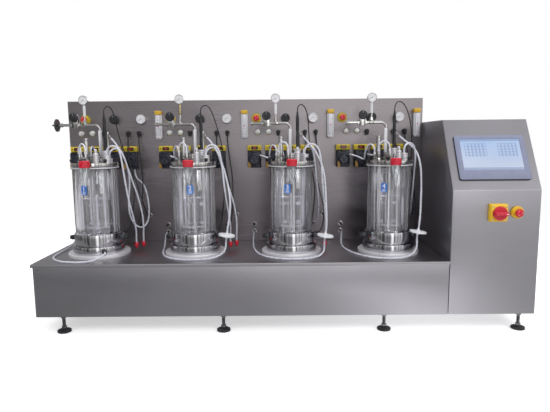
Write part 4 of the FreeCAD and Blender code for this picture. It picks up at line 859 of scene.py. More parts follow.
RISER_HOSE_4 = [
    (93.8, -72, 99.9), (96, -72, 115.7), (99, -67, 138), (103, -58, 168), (106, -48, 202),
    (109, -38, 238), (111, -27, 275), (112, -15, 311), (109, -2, 344), (102, 12, 371), (90, 25, 390),
    (74, 38.5, 404), (57.3, 50.1, 419.3), (46.4, 55.6, 429.6)
]
LONG_TUBE = [
    (46.4, 55.6, 429.6), (57.3, 50.1, 419.3), (72, 43, 401), (88, 39, 376), (101, 40, 345),
    (109, 43, 308), (111, 46, 266), (105, 49, 222), (100, 52, 180), (101, 55, 144), (109, 60, 114),
    (123, 67, 92), (140, 78, 84), (154, 93, 93), (161, 109, 116), (160, 125, 150), (153, 140, 186),
    (144, 153, 217), (133, 166, 240), (119, 179, 254), (105, 191, 262), (93, 200, 271), (87, 203.5, 290),
    (87, 203.5, 306)
]
FEED_NEAR = [
    (49, -14, 371), (49, -14, 384), (55.8, -15.7, 396.1), (67.5, -18.6, 403.1), (81.1, -22, 403.1),
    (92.9, -24.9, 396.1), (100.6, -26.8, 382.2), (105.6, -28, 361), (109, -27, 332), (112, -24, 297),
    (115, -19, 260), (118, -13, 224), (122, -5, 188), (126, 6, 154), (129, 19, 122), (130, 31, 94),
    (129, 38, 70), (128, 40, 50), (128, 40, 34)
]
FEED_FAR = [
    (46, 24, 360), (46, 24, 373), (51.3, 28.6, 385.1), (60.3, 36.6, 392.1), (70.8, 45.8, 392.1),
    (79.9, 53.8, 385.1), (85.9, 59.1, 371.2), (91, 63, 350), (99, 67, 320), (109, 69, 284),
    (121, 69, 246), (133, 67, 208), (143, 64, 170), (150, 62, 132), (152, 61, 96), (151, 60, 70),
    (150, 60, 50), (150, 60, 34)
]
FEED_BACK = [
    (46, 24, 360), (46, 24, 373), (51.3, 28.6, 385.1), (60.3, 36.6, 392.1), (70.8, 45.8, 392.1),
    (79.9, 53.8, 385.1), (85.9, 59.1, 371.2), (90, 64, 350), (94, 70, 318), (98, 78, 280), (103, 88, 240),
    (108, 100, 202), (111, 114, 166), (110, 131, 132), (107, 147, 105), (103.5, 159, 88),
    (100.5, 171, 76.5), (99.5, 184, 71), (99.5, 198, 71)
]
FEED_INNER = [
    (49, -14, 371), (49, -14, 384), (54.7, -11.6, 396.1), (64.8, -7.2, 403.1), (76.5, -2.3, 403.1),
    (86.6, 2.1, 396.1), (93.2, 4.9, 382.2), (96.5, 7, 361), (97, 10, 332), (96, 14, 296), (95, 20, 258),
    (95, 30, 220), (97, 46, 184), (102, 68, 152), (106, 95, 126), (107, 123, 104), (105, 148, 87),
    (101, 170, 74), (99.5, 185, 71), (99.5, 198, 71)
]
PUMP_TUBE_LEFT = [
    (-119.5, 184, 358), (-119.5, 172, 358), (-113.5, 161.6, 357), (-103, 155, 354), (-89, 149, 349),
    (-79, 138, 343), (-74.5, 122, 340), (-74.5, 103, 341), (-77, 85, 346), (-79, 69, 354), (-80, 57, 366),
    (-78, 47, 380.5), (-74, 40.6, 393.4), (-68.3, 31.9, 399.4), (-61.9, 21.8, 399.4), (-56.2, 13, 393.4),
    (-53, 8, 382.8), (-53, 8, 371)
]
PUMP_TUBE_RIGHT = [
    (-47.5, 184, 358), (-47.5, 172, 358), (-41.5, 161.6, 357), (-31.3, 155.2, 355), (-23, 144, 352),
    (-21.5, 128, 351), (-25, 111, 357), (-28, 98, 368), (-30.5, 89.5, 381), (-31.5, 82.5, 393.2),
    (-31.5, 72.4, 399.4), (-31, 60.4, 399.4), (-30.3, 50, 393.4), (-30, 44, 382.8), (-30, 44, 371)
]
HEAD_LOOP = [
    (-45, -27, 383), (-45, -27, 395), (-40.5, -31, 405.4), (-32.7, -37.8, 411.4), (-24.3, -45.2, 411.4),
    (-16.5, -52, 405.4), (-12, -56, 395), (-12, -56, 383)
]
PROBE_CABLE_1 = [
    (26, 46, 522), (26, 46, 533), (28.5, 51.6, 543.2), (33, 61, 549), (38.5, 72.3, 549),
    (43.3, 82.1, 542.6), (46.5, 89, 530), (49, 96, 511), (51, 105, 484), (54, 116, 450), (60, 128, 412),
    (70, 138, 374), (82, 144, 336), (95, 147, 296), (107, 148, 256), (117, 149, 218), (126, 152, 184),
    (132, 158, 156), (136.5, 167, 133), (137.5, 175, 118.5), (137.5, 186, 112), (137.5, 198, 112)
]
PROBE_CABLE_2 = [
    (26, 46, 522), (26, 46, 533), (30.5, 50, 543.2), (38.3, 56.9, 549), (47.3, 64.7, 549),
    (55.1, 71.6, 543), (61.5, 77.2, 531), (69, 84, 511), (78, 93, 480), (87, 103, 442), (95, 114, 400),
    (102, 124, 356), (108, 133, 312), (115, 140, 268), (122, 145, 226), (129, 151, 188),
    (133.5, 158, 157), (136.5, 167, 133), (137.5, 175, 118.5), (137.5, 186, 112), (137.5, 198, 112)
]
PROBE_CABLE_3 = [
    (26, 46, 522), (26, 46, 533), (30, 50.5, 543.2), (37, 58, 549), (45, 67, 549), (53, 76, 543),
    (60, 84, 531), (66, 92, 512), (70, 101, 484), (72, 111, 448), (75, 122, 408), (81, 132, 366),
    (90, 139, 324), (101, 143, 282), (112, 146, 240), (122, 150, 200), (131, 157, 164), (136, 166, 136),
    (137.5, 175, 118.5), (137.5, 186, 112), (137.5, 198, 112)
]
PROBE_CABLE_4 = [
    (26, 46, 522), (26, 46, 534), (30, 48.5, 546), (38, 54, 554.5), (49, 61, 557), (61, 69, 553),
    (72, 76.5, 542), (83, 84, 524), (94, 92, 498), (103, 101, 464), (109, 110, 426), (112, 119, 384),
    (113, 128, 340), (114, 136, 296), (117, 143, 254), (122, 149, 214), (128, 154, 182), (133, 159, 155),
    (136.5, 167, 133), (137.5, 175, 118.5), (137.5, 186, 112), (137.5, 198, 112)
]
SENSOR_CABLE_LEFT = [
    (63.5, 209, 436), (63.5, 209, 424), (64.5, 203.5, 411.5), (67, 194.5, 398), (71, 181, 382),
    (76, 166, 361), (82, 159, 332), (89, 157, 295), (95, 153, 259), (98, 149, 226), (97, 143, 194),
    (94, 137.5, 163), (90.5, 132, 134), (87.4, 128, 106), (83.5, 121, 84), (77.7, 111, 70.3),
    (70, 100, 64), (61.9, 88.5, 64)
]
SENSOR_CABLE_RIGHT = [
    (107.5, 209, 436), (107.5, 209, 423), (109, 204, 408), (112, 196, 387), (116, 187, 358),
    (121, 177, 325), (127, 167, 291), (131, 157, 257), (132, 146, 223), (132, 133, 190), (132, 118, 160),
    (131, 103, 132), (128, 90, 106), (122, 77, 82), (113, 66.5, 68.5), (103.9, 60, 64), (93.5, 54, 64)
]

# Piece name, bay, route, tube length.
DECK_CORDS = [
    ("deck_hose_1", 0, LOOP_HOSE, 0.559), ("deck_hose_2", 1, DECK_HOSE_2, 0.596),
    ("deck_hose_3", 2, DECK_HOSE_3, 0.602), ("deck_hose_4", 3, DECK_HOSE_4, 0.573)
]
RISER_CORDS = [
    ("riser_hose_2", 1, RISER_HOSE_2, 0.380), ("riser_hose_3", 2, RISER_HOSE_3, 0.384),
    ("riser_hose_4", 3, RISER_HOSE_4, 0.380)
]
FEED_CORDS = [
    ("feed_tube_1_long", 0, LONG_TUBE, 0.677), ("feed_tube_1_near", 0, FEED_NEAR, 0.445),
    ("feed_tube_1_far", 0, FEED_FAR, 0.432), ("feed_tube_2_near", 1, FEED_NEAR, 0.445),
    ("feed_tube_2_far", 1, FEED_FAR, 0.432), ("feed_tube_3_near", 2, FEED_NEAR, 0.445),
    ("feed_tube_3_back", 2, FEED_BACK, 0.435), ("feed_tube_4_inner", 3, FEED_INNER, 0.482)
]
PROBE_CORDS = [
    ("probe_cable_1", 0, PROBE_CABLE_1, 0.535), ("probe_cable_2", 1, PROBE_CABLE_2, 0.531),
    ("probe_cable_3", 2, PROBE_CABLE_3, 0.534), ("probe_cable_4", 3, PROBE_CABLE_4, 0.553)
]


def in_each_bay(*cords):
    return [(f"{name}_{i + 1}", i, route, length) for i in BAYS for name, route, length in cords]


HEAD_CORDS = in_each_bay(
    ("pump_tube_left", PUMP_TUBE_LEFT, 0.251), ("pump_tube_right", PUMP_TUBE_RIGHT, 0.192),
    ("head_loop", HEAD_LOOP, 0.083)
)
SENSOR_CORDS = in_each_bay(
    ("sensor_cable_left", SENSOR_CABLE_LEFT, 0.421), ("sensor_cable_right", SENSOR_CABLE_RIGHT, 0.426)
)


def lay_cord(entry, diameter, material, node):
    """A hose or cable as one smooth spline on its route."""
    name, bay, route, length = entry
    curve = bpy.data.curves.new(name, "CURVE")
    curve.dimensions = "3D"
    curve.bevel_depth = diameter / 2
    curve.bevel_resolution = 4
    curve.use_fill_caps = True
    curve.resolution_u = 8
    line = curve.splines.new("NURBS")
    line.points.add(len(route) - 1)
    for point, spot in zip(line.points, route):
        point.co = (*vessel_spot(bay, *spot), 1)
    line.order_u = 3
    line.use_endpoint_u = True
    curve.materials.append(material)
    cord = linked(name, curve)
    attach(cord, BODY)
    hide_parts(node)
    vessel_spot(bay, *route[0])


class BIOREACTOR_OT_hoses(bpy.types.Operator):
    """Lays the silicone hoses, and plugs the ends that stand on the deck"""

    bl_idname = "bioreactor.hoses"
    bl_label = "Hoses and Plugs"

    def execute(self, context):
        silicone = soft_tube("silicone", hue("silicone"))
        red = moulding("plug_red", hue("signal"), 0.35, 0.1)
        ends = sorted(solids("tube_plugs"), key=lambda b: (b[0].x, b[0].y))
        near = [e for e in FEED_CORDS if e[2] in (FEED_NEAR, FEED_FAR)]
        for corner, opposite in ends:
            middle = (corner + opposite) / 2
            owner = min(near, key=lambda e: (drawn_spot(e[1], *e[2][-1]) - middle).length)
            radius = (opposite.x - corner.x) / 2
            tall = opposite.z - corner.z
            outline = [
                (0, 0), (radius * 0.5, 0), (radius * 0.6, tall * 0.3), (radius, tall * 0.34),
                (radius, tall * 0.86), (radius * 0.62, tall), (0, tall)
            ]
            plug = turned(outline, 1.2, 32)
            ribs = ring_of_ribs("plug_ribs", 14, radius * 0.98, (1, 0.8, tall * 0.4), tall * 0.6, red)
            plug = joined(plug, ribs)
            moved(plug, at((middle.x, middle.y, corner.z)))
            make("plug_of_" + owner[0], plug, [red], "tube_plugs")
        for entries, node, diameter in (
            (DECK_CORDS, "deck_hoses", 7 * MM), (RISER_CORDS, "riser_hoses", 7 * MM),
            (FEED_CORDS, "feed_tubes", 6.4 * MM), (HEAD_CORDS, "head_tubes", 6 * MM)
        ):
            for entry in entries:
                lay_cord(entry, diameter, silicone, node)
        return {"FINISHED"}


class BIOREACTOR_OT_cables(bpy.types.Operator):
    """Lays the probe and sensor cables"""

    bl_idname = "bioreactor.cables"
    bl_label = "Cables"

    def execute(self, context):
        rubber = moulding("cable_rubber", hue("rubber"), 0.5, 0.2)
        for entry in PROBE_CORDS:
            lay_cord(entry, 4 * MM, rubber, "probe_cables")
        for entry in SENSOR_CORDS:
            lay_cord(entry, 4.8 * MM, rubber, "sensor_cables")
        return {"FINISHED"}


# Sheet metal and the control cabinet


def folded_box(node, bend):
    """A sheet box of a node's size with rounded folds."""
    return block(*box_of(node), bend, steps=3)


COVER_STEP = 0.5


def cabinet_profile():
    """The side view of the cabinet as (y, z) corners, from the node's own points."""
    points = points_of("control_cabinet")
    corner, opposite = box_of("control_cabinet")
    fold = max(p.z for p in points if p.y < corner.y + 1)
    setback = min(p.y for p in points if p.z > opposite.z - 1)
    return [
        (corner.y, corner.z), (opposite.y - COVER_STEP, corner.z), (opposite.y - COVER_STEP, opposite.z),
        (setback, opposite.z), (corner.y, fold)
    ]


def slope_place():
    """The place of the cabinet's sloping front: its lower middle, X across and Y up the slope."""
    profile = cabinet_profile()
    fold, top = Vector((0, *profile[4])), Vector((0, *profile[3]))
    up = (top - fold).normalized()
    across = Vector((1, 0, 0))
    out = across.cross(up)
    turn = Matrix((across, up, out)).transposed().to_4x4()
    middle = (low("control_cabinet").x + high("control_cabinet").x) / 2
    return at((middle, fold.y, fold.z)) @ turn


class BIOREACTOR_OT_sheet_metal(bpy.types.Operator):
    """Folds the base, the deck, the instrument panel and the cabinet from brushed sheet"""

    bl_idname = "bioreactor.sheet_metal"
    bl_label = "Sheet Metal"

    def execute(self, context):
        bend = detail("bend")
        # The deck's lighter tone is painted light, and the panel's darker, warmer tone is painted shade
        # and reflection.
        sheet = brushed_steel("sheet_steel", hue("sheet"), 0.33)
        deck = brushed_steel("deck_steel", hue("deck"), 0.42)
        panel = brushed_steel("panel_steel", hue("panel"), 0.3)
        corner, opposite = box_of("base_housing")
        seam = Vector((1.6, 0, 0))
        base = block(corner, opposite - seam, bend * 0.6, steps=3)
        make("base_folded", base, [sheet], "base_housing")

        corner, opposite = box_of("deck_plate")
        tray = block(corner, opposite, bend, 0, 4)
        make("deck_folded", tray, [deck], "deck_plate")
        make(
            "panel_folded", folded_box("instrument_panel", bend * 0.4), [panel],
            "instrument_panel"
        )
        rear = folded_box("rear_housing", bend)
        make("rear_folded", rear, [sheet], "rear_housing")

        shape = bmesh.new()
        left, right = low("control_cabinet").x, high("control_cabinet").x
        near = [shape.verts.new((left, y, z)) for y, z in cabinet_profile()]
        far = [shape.verts.new((right, y, z)) for y, z in cabinet_profile()]
        shape.faces.new(near[::-1])
        shape.faces.new(far)
        for k in range(len(near)):
            n = (k + 1) % len(near)
            shape.faces.new((near[k], near[n], far[n], far[k]))
        bmesh.ops.bevel(shape, geom=shape.edges[:], offset=bend, segments=4, profile=0.5, affect="EDGES")
        bmesh.ops.recalc_face_normals(shape, faces=shape.faces)
        make("cabinet_folded", shape, [sheet], "control_cabinet")
        cover_low, cover_high = box_of("cabinet_back_cover")
        back = high("control_cabinet").y
        cover = block((cover_low.x, cover_low.y, cover_low.z), (cover_high.x, back, cover_high.z), 0.8)
        make("back_cover_folded", cover, [sheet], "cabinet_back_cover")
        return {"FINISHED"}


def within(tree, value, least, most):
    """One between two bounds, none outside them."""
    above, below = sums(tree, "GREATER_THAN", value, least), sums(tree, "LESS_THAN", value, most)
    return sums(tree, "MULTIPLY", above, below)


def screen_glow(name):
    """A lit page: a pale field with a heading bar and two tables of plain cells."""
    material, tree, shader = finish(
        name, Base_Color=tint("14161b"), Roughness=0.45, Emission_Strength=0.9
    )
    place = add(tree, "ShaderNodeUVMap", {"uv_map": "page"}).outputs[0]
    parts = add(tree, "ShaderNodeSeparateXYZ", i0=place)
    x, y = parts.outputs[0], parts.outputs[1]
    glow = mixed(tree, ranged(tree, y, 0, 1, 0.1, 0.95), tint("c8d3ea"), tint("aac6f0"))
    soft = noise(tree, (9, 9, 9), "Object", 2)
    glow = mixed(tree, ranged(tree, soft, 0, 0.35), glow, tint("dbe6f6"))
    cells = add(
        tree, "ShaderNodeTexBrick", {"offset": 0.0}, Vector=place, Scale=1.0, Mortar_Size=0.012,
        Brick_Width=0.062, Row_Height=0.095
    )
    rows = within(tree, y, 0.42, 0.86)
    left, right = within(tree, x, 0.06, 0.43), within(tree, x, 0.62, 0.94)
    table = sums(tree, "MULTIPLY", rows, sums(tree, "ADD", left, right))
    lines = sums(tree, "MULTIPLY", table, cells.outputs["Fac"])
    glow = mixed(tree, sums(tree, "MULTIPLY", lines, 0.6), glow, tint("7f97c4"))
    bar = sums(tree, "GREATER_THAN", y, 0.93)
    foot = sums(tree, "LESS_THAN", y, 0.07)
    glow = mixed(tree, sums(tree, "MULTIPLY", sums(tree, "ADD", bar, foot), 0.55), glow, tint("7d93bb"))
    tree.links.new(glow, shader.inputs["Emission Color"])
    return material


class BIOREACTOR_OT_touch_screen(bpy.types.Operator):
    """Makes the touch screen's frame and its lit page"""

    bl_idname = "bioreactor.touch_screen"
    bl_label = "Touch Screen"

    def execute(self, context):
        place = slope_place()
        back = place.inverted()
        points = [back @ p for p in points_of("touchscreen_bezel")]
        width = max(p.x for p in points) - min(p.x for p in points)
        foot, top = min(p.y for p in points), max(p.y for p in points)
        proud = max(p.z for p in points)
        glass = [back @ p for p in points_of("touchscreen_glass")]
        window = max(p.x for p in glass) - min(p.x for p in glass)
        glass_foot, glass_top = min(p.y for p in glass), max(p.y for p in glass)
        level = max(p.z for p in glass)

        grey = moulding("bezel_grey", hue("bezel"), 0.4, 0.12)
        # Painted shade: the bezel's outer sides and their rounded edge get a dark grey in place of the
        # bezel's own grey.
        rim_shade = moulding("bezel_rim", tint("332e3a"), 0.45, 0.12)
        middle = (foot + top) / 2
        shift = (glass_foot + glass_top) / 2 - middle

        def loop(w, h, r, z, lift=0.0):
            return [(x, y + middle + lift, z) for x, y, _ in rounded_rectangle(w, h, r, 0, 5)]

        tall = top - foot
        opening = glass_top - glass_foot
        rim = loft(
            [
                loop(width, tall, 9, 0), loop(width, tall, 9, proud - 2.6),
                loop(width - 2, tall - 2, 8, proud - 1.2)
            ],
            1, False
        )
        face = loft(
            [
                loop(width - 2, tall - 2, 8, proud - 1.2), loop(width - 5, tall - 5, 7, proud),
                loop(window + 7, opening + 7, 3, proud, shift),
                loop(window + 4, opening + 4, 2, proud - 0.4, shift),
                loop(window, opening, 1, level - 0.2, shift)
            ],
            0, False
        )
        bezel = moved(joined(rim, face), place)
        make("bezel_moulded", bezel, [grey, rim_shade], "touchscreen_bezel", sharp=50)

        page = bmesh.new()
        half = window / 2
        corners = [(-half, glass_foot), (half, glass_foot), (half, glass_top), (-half, glass_top)]
        for z, turned in ((level, False), (0.5, True)):
            ring = [page.verts.new((x, y, z)) for x, y in corners]
            page.faces.new(ring[::-1] if turned else ring)
        upper, lower = page.verts[:4], page.verts[4:]
        for k in range(4):
            n = (k + 1) % 4
            page.faces.new((lower[k], lower[n], upper[n], upper[k]))
        layer = page.loops.layers.uv.new("page")
        for face in page.faces:
            for corner in face.loops:
                x, y, _ = corner.vert.co
                corner[layer].uv = ((x + half) / window, (y - glass_foot) / opening)
        moved(page, place)
        make("screen_page", page, [screen_glow("screen_glow")], "touchscreen_glass")
        return {"FINISHED"}


class BIOREACTOR_OT_switches(bpy.types.Operator):
    """Makes the main switch and the stop button"""

    bl_idname = "bioreactor.switches"
    bl_label = "Main Switch and Stop Button"

    def execute(self, context):
        yellow = moulding("switch_yellow", tint("e3b92a"), 0.35, 0.1)
        red = moulding("switch_red", hue("signal"), 0.32, 0.08)
        steel = turned_steel("screw_steel", tint("b9b9bb"), 0.25)
        corner, opposite = box_of("isolator_plate")
        side = opposite.x - corner.x
        deep = opposite.y - corner.y
        middle = back_middle(corner, opposite)
        outer = [
            rounded_rectangle(side, side, 4, 0), rounded_rectangle(side, side, 4, deep * 0.7),
            rounded_rectangle(side - 5, side - 5, 3, deep - 1),
            rounded_rectangle(side - 7, side - 7, 3, deep)
        ]
        plate = loft(outer)
        screws = []
        reach = side / 2 - 8
        for sx in (-1, 1):
            for sy in (-1, 1):
                screws.append(((sx * reach, sy * reach, deep - 0.2), (0, 0, 1)))
        head = turned([(0, 0), (2.6, 0), (2.4, 0.9), (0, 1.1)], 0.4, 16)
        heads = repeated("switch_screws", head, screws, steel, look=1)
        front = at(middle) @ FACING_FRONT
        plate = moved(joined(plate, heads), front)
        make("isolator_moulded", plate, [yellow, steel], "isolator_plate")

        corner, opposite = box_of("isolator_knob")
        radius = (opposite.x - corner.x) / 2
        start = low("isolator_plate").y
        reach = start - corner.y
        disc = reach * 0.36
        dial = turned(
            [(0, 0.3), (radius, 0.3), (radius * 0.97, disc), (radius * 0.8, disc * 1.05), (0, disc)], 1.2,
            64
        )
        ribs = ring_of_ribs("dial_ribs", 40, radius * 0.985, (1.2, 0.8, disc * 0.5), disc * 0.55, red)
        grip = block((-radius + 2, -5.5, disc * 0.9), (radius - 2, 5.5, reach - 0.2), 2.4, 0, 4)
        pointer = block((radius - 12, -1.2, reach - 0.6), (radius - 4.5, 1.2, reach), 0.2, 1)
        white = moulding("mark_white", tint("e8e8e8"), 0.4, 0.05)
        knob = moved(joined(dial, ribs, grip, pointer), at((middle.x, start, middle.z)) @ FACING_FRONT)
        make("isolator_dial", knob, [red, white], "isolator_knob", body="isolator_knob")
        build_push_button("stop", "stop_collar", "stop_button", yellow)
        return {"FINISHED"}


def build_push_button(name, collar_node, button_node, yellow):
    """A collar on the sheet and a mushroom head that slides in it."""
    corner, opposite = box_of(collar_node)
    middle = back_middle(corner, opposite)
    radius = (opposite.x - corner.x) / 2
    deep = opposite.y - corner.y
    bore = 5
    ring = turned(
        [
            (bore, 0), (radius, 0), (radius, deep * 0.5), (radius * 0.93, deep * 0.62),
            (radius * 0.9, deep), (bore, deep)
        ],
        1.2, 56, True
    )
    moved(ring, at(middle) @ FACING_FRONT)
    make(name + "_collar_turned", ring, [yellow], collar_node)
    make_mushroom(button_node, corner.y)


class BIOREACTOR_OT_feet(bpy.types.Operator):
    """Makes the levelling feet with threaded studs and lock nuts"""

    bl_idname = "bioreactor.feet"
    bl_label = "Levelling Feet"

    def execute(self, context):
        steel = turned_steel("stud_steel", tint("8f9093"), 0.3)
        rubber = moulding("foot_rubber", tint("26262a"), 0.6, 0.3)
        boxes = solids("levelling_feet")
        corner, opposite = boxes[0]
        pad = (opposite.x - corner.x) / 2
        tall = opposite.z - corner.z
        stud = 6
        pitch = detail("thread")
        foot = [(0, 0), (pad, 0), (pad, 6.5), (pad * 0.95, 7.5), (12, 12), (0, 12)]
        places = [((a + b) / 2 * Vector((1, 1, 0)), (0, 0, 1)) for a, b in boxes]
        pads = repeated("foot_pads", turned(foot, 1, 40), places, rubber, look=1)
        thread = [(0, 11), (stud, 11)]
        level = 12
        while level + pitch < tall - 12:
            thread += [(stud, level), (stud - 0.9, level + pitch / 2)]
            level += pitch
        thread += [(stud, level), (stud, tall), (0, tall)]
        studs = joined(lathe(thread, 20), hexagon(19, tall - 10, tall - 0.5), hexagon(17, 14.5, 21))
        studs = repeated("foot_studs", studs, places, steel)
        make("feet_turned", joined(studs, pads), [steel, rubber], "levelling_feet")
        return {"FINISHED"}


# Vessels

UP = Vector((0, 0, 1))
FLANGE_RADIUS = 93
FLANGE_TOP = 41
WAIST_RADIUS = 80
COLLAR_RADIUS = 86
GLASS_RADIUS = 78
OUTER_WALL = 3.5
INNER_WALL = 4
BORE_RADIUS = 65.5
BEAD_HEIGHT = 4
# Directions, in degrees about each vessel, of its label and of the scale.
LABEL_BEARINGS = (-103, -90, -101.5, -115)
SCALE_BEARING = -146
# What tells the kinds of head port apart: their widths, and the height of the tallest.
PLUG_WIDTH = 34
CONDENSER_WIDTH = 23
TALL_PORT_HEIGHT = 450
WIDTH_SLACK = 0.6
# The exhaust pipe's height above the deck, and its valve and gauge along it from the drop leg.
PIPE_LEVEL = 481
VALVE_PLACE = -90
VALVE_HALF = 12
GAUGE_PLACE = -55
# Collars on the heads: across, behind, bore, radius and top above the head. The last holds the probe.
COLLARS = ((49, -14, 3.2, 15, 24), (22, -49, 3.2, 9.5, 36), (46, 24, 3.2, 12, 14), (26, 46, 10.4, 14, 42))


def shared(make_finish, name, *values, **settings):
    """A finish that several pieces wear, made once."""
    return bpy.data.materials.get(name) or make_finish(name, *values, **settings)


def black_moulding():
    return shared(moulding, "moulding_black", hue("moulding"), 0.4, 0.3)


def red_moulding():
    return shared(moulding, "moulding_red", hue("signal"), 0.32, 0.08)


def yellow_moulding():
    return shared(moulding, "moulding_yellow", hue("fascia"), 0.38, 0.1)


def white_moulding():
    return shared(moulding, "moulding_white", tint("dddde0"), 0.35, 0.08)


def grey_moulding():
    return shared(moulding, "moulding_grey", tint("5a5c63"), 0.4, 0.2)


def chrome_steel():
    return shared(turned_steel, "chrome", tint("dcdcdd"), 0.06, 0.01)


def polished():
    return shared(turned_steel, "polished_steel", hue("polished"), 0.1)


def satin():
    return shared(turned_steel, "satin_steel", tint("f0eff3"), 0.36, metallic=0.55)


# Polished steel with a mirror finish, darkened to 0.78 of the polished tone: painted shade that keeps the
# vessel bases darker than the heads.
def mirror():
    return shared(turned_steel, "mirror_steel", shade(hue("polished"), 0.78), 0.05, 0.02)


def middle_of(box):
    return (box[0] + box[1]) / 2


def radius_of(box):
    return (box[1].x - box[0].x) / 2


def on_deck(spot):
    """The place on the deck below a point, for an upright piece."""
    return Vector((spot.x, spot.y, DECK)), UP


def repeated_parts(name, parts, places):
    """One shape of all copies of some (shape, material) parts, with a look for each part."""
    whole = bmesh.new()
    for look, (shape, material) in enumerate(parts):
        copies = repeated(f"{name}_{look}", shape, places, material, look=look)
        whole = joined(whole, copies)
    return whole


def make_copies(name, parts, places, replaces):
    shape = repeated_parts(name, parts, places)
    return make(name, shape, [m for _, m in parts], replaces)


def at_each_vessel(across=0.0, behind=0.0):
    return [(drawn_spot(i, across, behind), UP) for i in BAYS]


def lettering(text, height, thick=0.0, look=0):
    """Plain upright characters about the origin, facing up, as a shape."""
    curve = bpy.data.curves.new("text", "FONT")
    curve.body = text
    curve.size = height * 1.4
    curve.align_x = "CENTER"
    curve.align_y = "CENTER"
    curve.extrude = thick / 2
    curve.resolution_u = 3
    shape = evaluated("text", curve, look=look)
    bpy.data.curves.remove(curve)
    return shape


def wrapped(shape, radius, bearing, level, axis):
    """Bends a flat shape, drawn facing up, round an upright cylinder."""
    bmesh.ops.triangulate(shape, faces=shape.faces)
    for vertex in shape.verts:
        x, y, z = vertex.co
        angle = bearing + x / radius
        reach = radius + z
        vertex.co = (
            axis.x + reach * math.cos(angle), axis.y + reach * math.sin(angle), axis.z + level + y
        )
    return shape


class BIOREACTOR_OT_vessel_bases(bpy.types.Operator):
    """Turns the seat discs and the polished vessel bases"""

    bl_idname = "bioreactor.vessel_bases"
    bl_label = "Vessel Bases"

    def execute(self, context):
        seat_radius = radius_of(solids("seat_discs")[0])
        seat_top = SEAT_TOP - DECK
        seat = rod(seat_radius, 0, seat_top)
        make_copies(
            "seat_turned", [(turned(seat, 2, 96), satin())], at_each_vessel(),
            "seat_discs"
        )
        glass_foot = GLASS_LOW.z - DECK
        pin_top = high("vessel_bases").z - DECK
        outline = [
            (0, seat_top), (FLANGE_RADIUS, seat_top), (FLANGE_RADIUS, FLANGE_TOP),
            (WAIST_RADIUS, FLANGE_TOP), (WAIST_RADIUS, FLANGE_TOP + 3), (COLLAR_RADIUS, FLANGE_TOP + 3),
            (COLLAR_RADIUS, glass_foot), (4, glass_foot), (4, pin_top), (0, pin_top)
        ]
        make_copies(
            "base_turned", [(turned(outline, 2.2, 96), mirror())], at_each_vessel(),
            "vessel_bases"
        )
        self.make_couplings()
        return {"FINISHED"}

    def make_couplings(self):
        """Push-in hose couplings round each base, each a nut, a ribbed sleeve and a release ring."""
        black = black_moulding()
        grey = grey_moulding()
        places = []
        for box in solids("base_couplings"):
            spot = middle_of(box)
            axis = min((drawn_spot(i) for i in BAYS), key=lambda a: (a.xy - spot.xy).length)
            way = (spot.xy - axis.xy).normalized()
            start = COLLAR_RADIUS if spot.z - DECK > 40 else FLANGE_RADIUS
            places.append(((*(axis.xy + way * start), spot.z), (*way, 0)))
        length = 22
        sleeve = turned(
            [(0, 7), (9, 7), (9, 16), (7.6, 17), (7.6, length), (4, length), (4, 12), (0, 12)], 0.8, 32
        )
        ribs = ring_of_ribs("sleeve_ribs", 18, 8.7, (0.9, 0.8, 6), 11.5, black)
        nut = hexagon(15.4, 0, 7.4)
        make_copies(
            "couplings_moulded", [(joined(sleeve, ribs), black), (nut, grey)], places,
            "base_couplings"
        )


